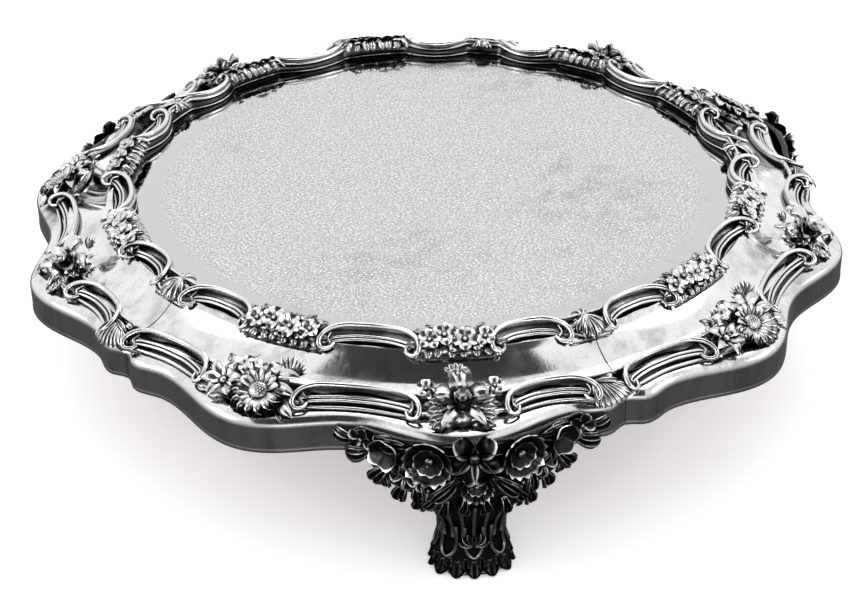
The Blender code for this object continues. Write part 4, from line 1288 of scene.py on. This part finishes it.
def foot_ornaments(face, raised):
    """(rows, matrix) for everything that sits on the skin; the upper flowers are raised or lowered."""
    placed = []

    def on_front(across, height, rows, proud=0.0):
        spot, normal = face.front(across, height + raised * min(max((height - 45) / 15, 0.0), 1.0))
        if spot is None:
            return
        matrix = face.seat(spot, normal)
        placed.append(([(s, moved(z=proud) @ m) for s, m in rows], matrix))

    on_front(-1.0, 73.5, curled_flower(11.5, 6), 1.8)
    on_front(-20.5, 71.5, ruffled_shell(11.4), 0.6)
    on_front(19.5, 72.0, ruffled_shell(11.0, turn=12), 0.6)
    for side in (-1, 1):
        on_front(38.5 * side, 72.5, trumpet(7.6), 0.6)
        for across, height, radius, count, rise, proud in BRACKET_DAISIES:
            on_front(across * side, height, daisy(0, 0, rise, radius, count), proud)
        for across, height, turn, length, width, sway in BRACKET_LEAVES:
            lean = turn if side > 0 else 180 - turn
            on_front(across * side, height, rope_leaf(length, width, lean, sway * side))
    on_front(0.0, 58.0, ruffled_shell(7.4), 0.4)
    for side in (-1, 1):
        on_front(13.0 * side, 47.5, rope_leaf(11.0, 6.0, -70 if side > 0 else -110, -20 * side))
        on_front(4.5 * side, 49.0, rope_leaf(10.0, 5.0, -80 if side > 0 else -100, 14 * side))
    drop = blade(6.5, 3.6, lift=30, curl=-50, cup=0.45, root=0.6, wide_at=0.5, point=0.5, thick=1.0)
    for k in range(STEM_SECTIONS["drops"]):
        spot, normal = face.round_stem(stem_turn((k + 0.5) / STEM_SECTIONS["drops"]), 44.0)
        if spot is not None:
            placed.append(([(drop, moved(turn=-90, z=0.2))], face.seat(spot, normal)))
    for k in range(STEM_SECTIONS["skirt"]):
        for height, length, width, share in ((7.6, 8.4, 8.8, 0.0), (9.0, 6.6, 6.0, 0.5)):
            spot, normal = face.round_stem(stem_turn((k + share) / STEM_SECTIONS["skirt"]), height)
            if spot is not None:
                skirt = blade(length, width, lift=8, curl=8, lobes=3, notch=0.22, cup=-0.35, rib=0.6,
                              flute=0.35, flutes=4, root=0.55, wide_at=0.6, point=0.6, thick=1.2, rows=15,
                              columns=11)
                placed.append(([(skirt, moved(turn=-90, z=0.1))], face.seat(spot, normal, 0.8)))
    spot, normal = face.round_stem(0.0, 16.0)
    finger = blade(7.0, 2.2, lift=30, curl=-50, cup=0.5, root=0.4, thick=0.9)
    palmette = petals(7, finger, out=0.8, start=20, spread=163)
    placed.append((palmette, face.seat(spot, normal) @ moved(z=1.4)))
    return placed


def foot_lines(face):
    """The stem's ribs and the looped scrolls at their feet, as lines on the skin."""
    lines = []

    def laid(path, proud, radius):
        line = []
        for turn, height in path:
            spot, normal = face.round_stem(turn, height)
            if spot is not None:
                outwards = Vector((normal.x, normal.y, 0.3 * normal.z))
                line.append((*(spot + outwards * proud * MM), radius))
        if len(line) > 3:
            lines.append(line)

    for k in range(STEM_SECTIONS["ribs"]):
        turn = stem_turn(k / STEM_SECTIONS["ribs"])
        laid([(turn, h) for h in np.linspace(43.0, 21.0, 13)], 0.35, 1.15)
    for k in range(STEM_SECTIONS["loops"]):
        low, high = (stem_turn((k + share) / STEM_SECTIONS["loops"]) for share in (-0.34, 0.34))
        if high < low:
            high += math.tau
        loop = [(low, 28.0), (low, 19.0), (low + 0.12 * (high - low), 12.5), ((low + high) / 2, 9.6)]
        loop += [(high - 0.12 * (high - low), 12.5), (high, 19.0), (high, 28.0)]
        path = smoothed([(a, h, 0) for a, h in loop], 26)
        laid([(a, h) for a, h, _ in path], 0.6, 1.0)
    return lines


# %% Build the feet
for n, azimuth in enumerate(FOOT_TURNS, 1):
    skin = foot_skin(f"foot_{n}_casting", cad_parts[f"foot_{n}"], DARK_CAST)
    face = FootFace(skin, azimuth)
    if n > 1:
        for vertex in skin.data.vertices:
            vertex.co.z = min(vertex.co.z, REAR_TOP + REAR_SQUEEZE * (vertex.co.z - REAR_TOP))
    casting = Casting()
    for rows, matrix in foot_ornaments(face, FOOT_RAISED[n - 1]):
        gather(casting, rows, matrix)
    points, faces = casting.solid()
    points[:, 2] = np.maximum(points[:, 2], 0.0)
    flowers = mesh_object(f"foot_{n}_flowers", (points, faces), DARK_CAST)
    drawn = drawn_lines("ribs", foot_lines(face))
    ribs = grow(f"foot_{n}_ribs", drawn, reed, Sides=8, Flatness=1.0, Finish=DARK_CAST)
    keep(skin, "dark_cast_silver", f"foot_{n}")
    keep(flowers, "dark_cast_silver")
    keep(ribs, "dark_cast_silver")
    counts = len(skin.data.polygons), len(faces), len(ribs.data.polygons)
    print(f"foot {n}: faces in skin, flowers and ribs", counts)
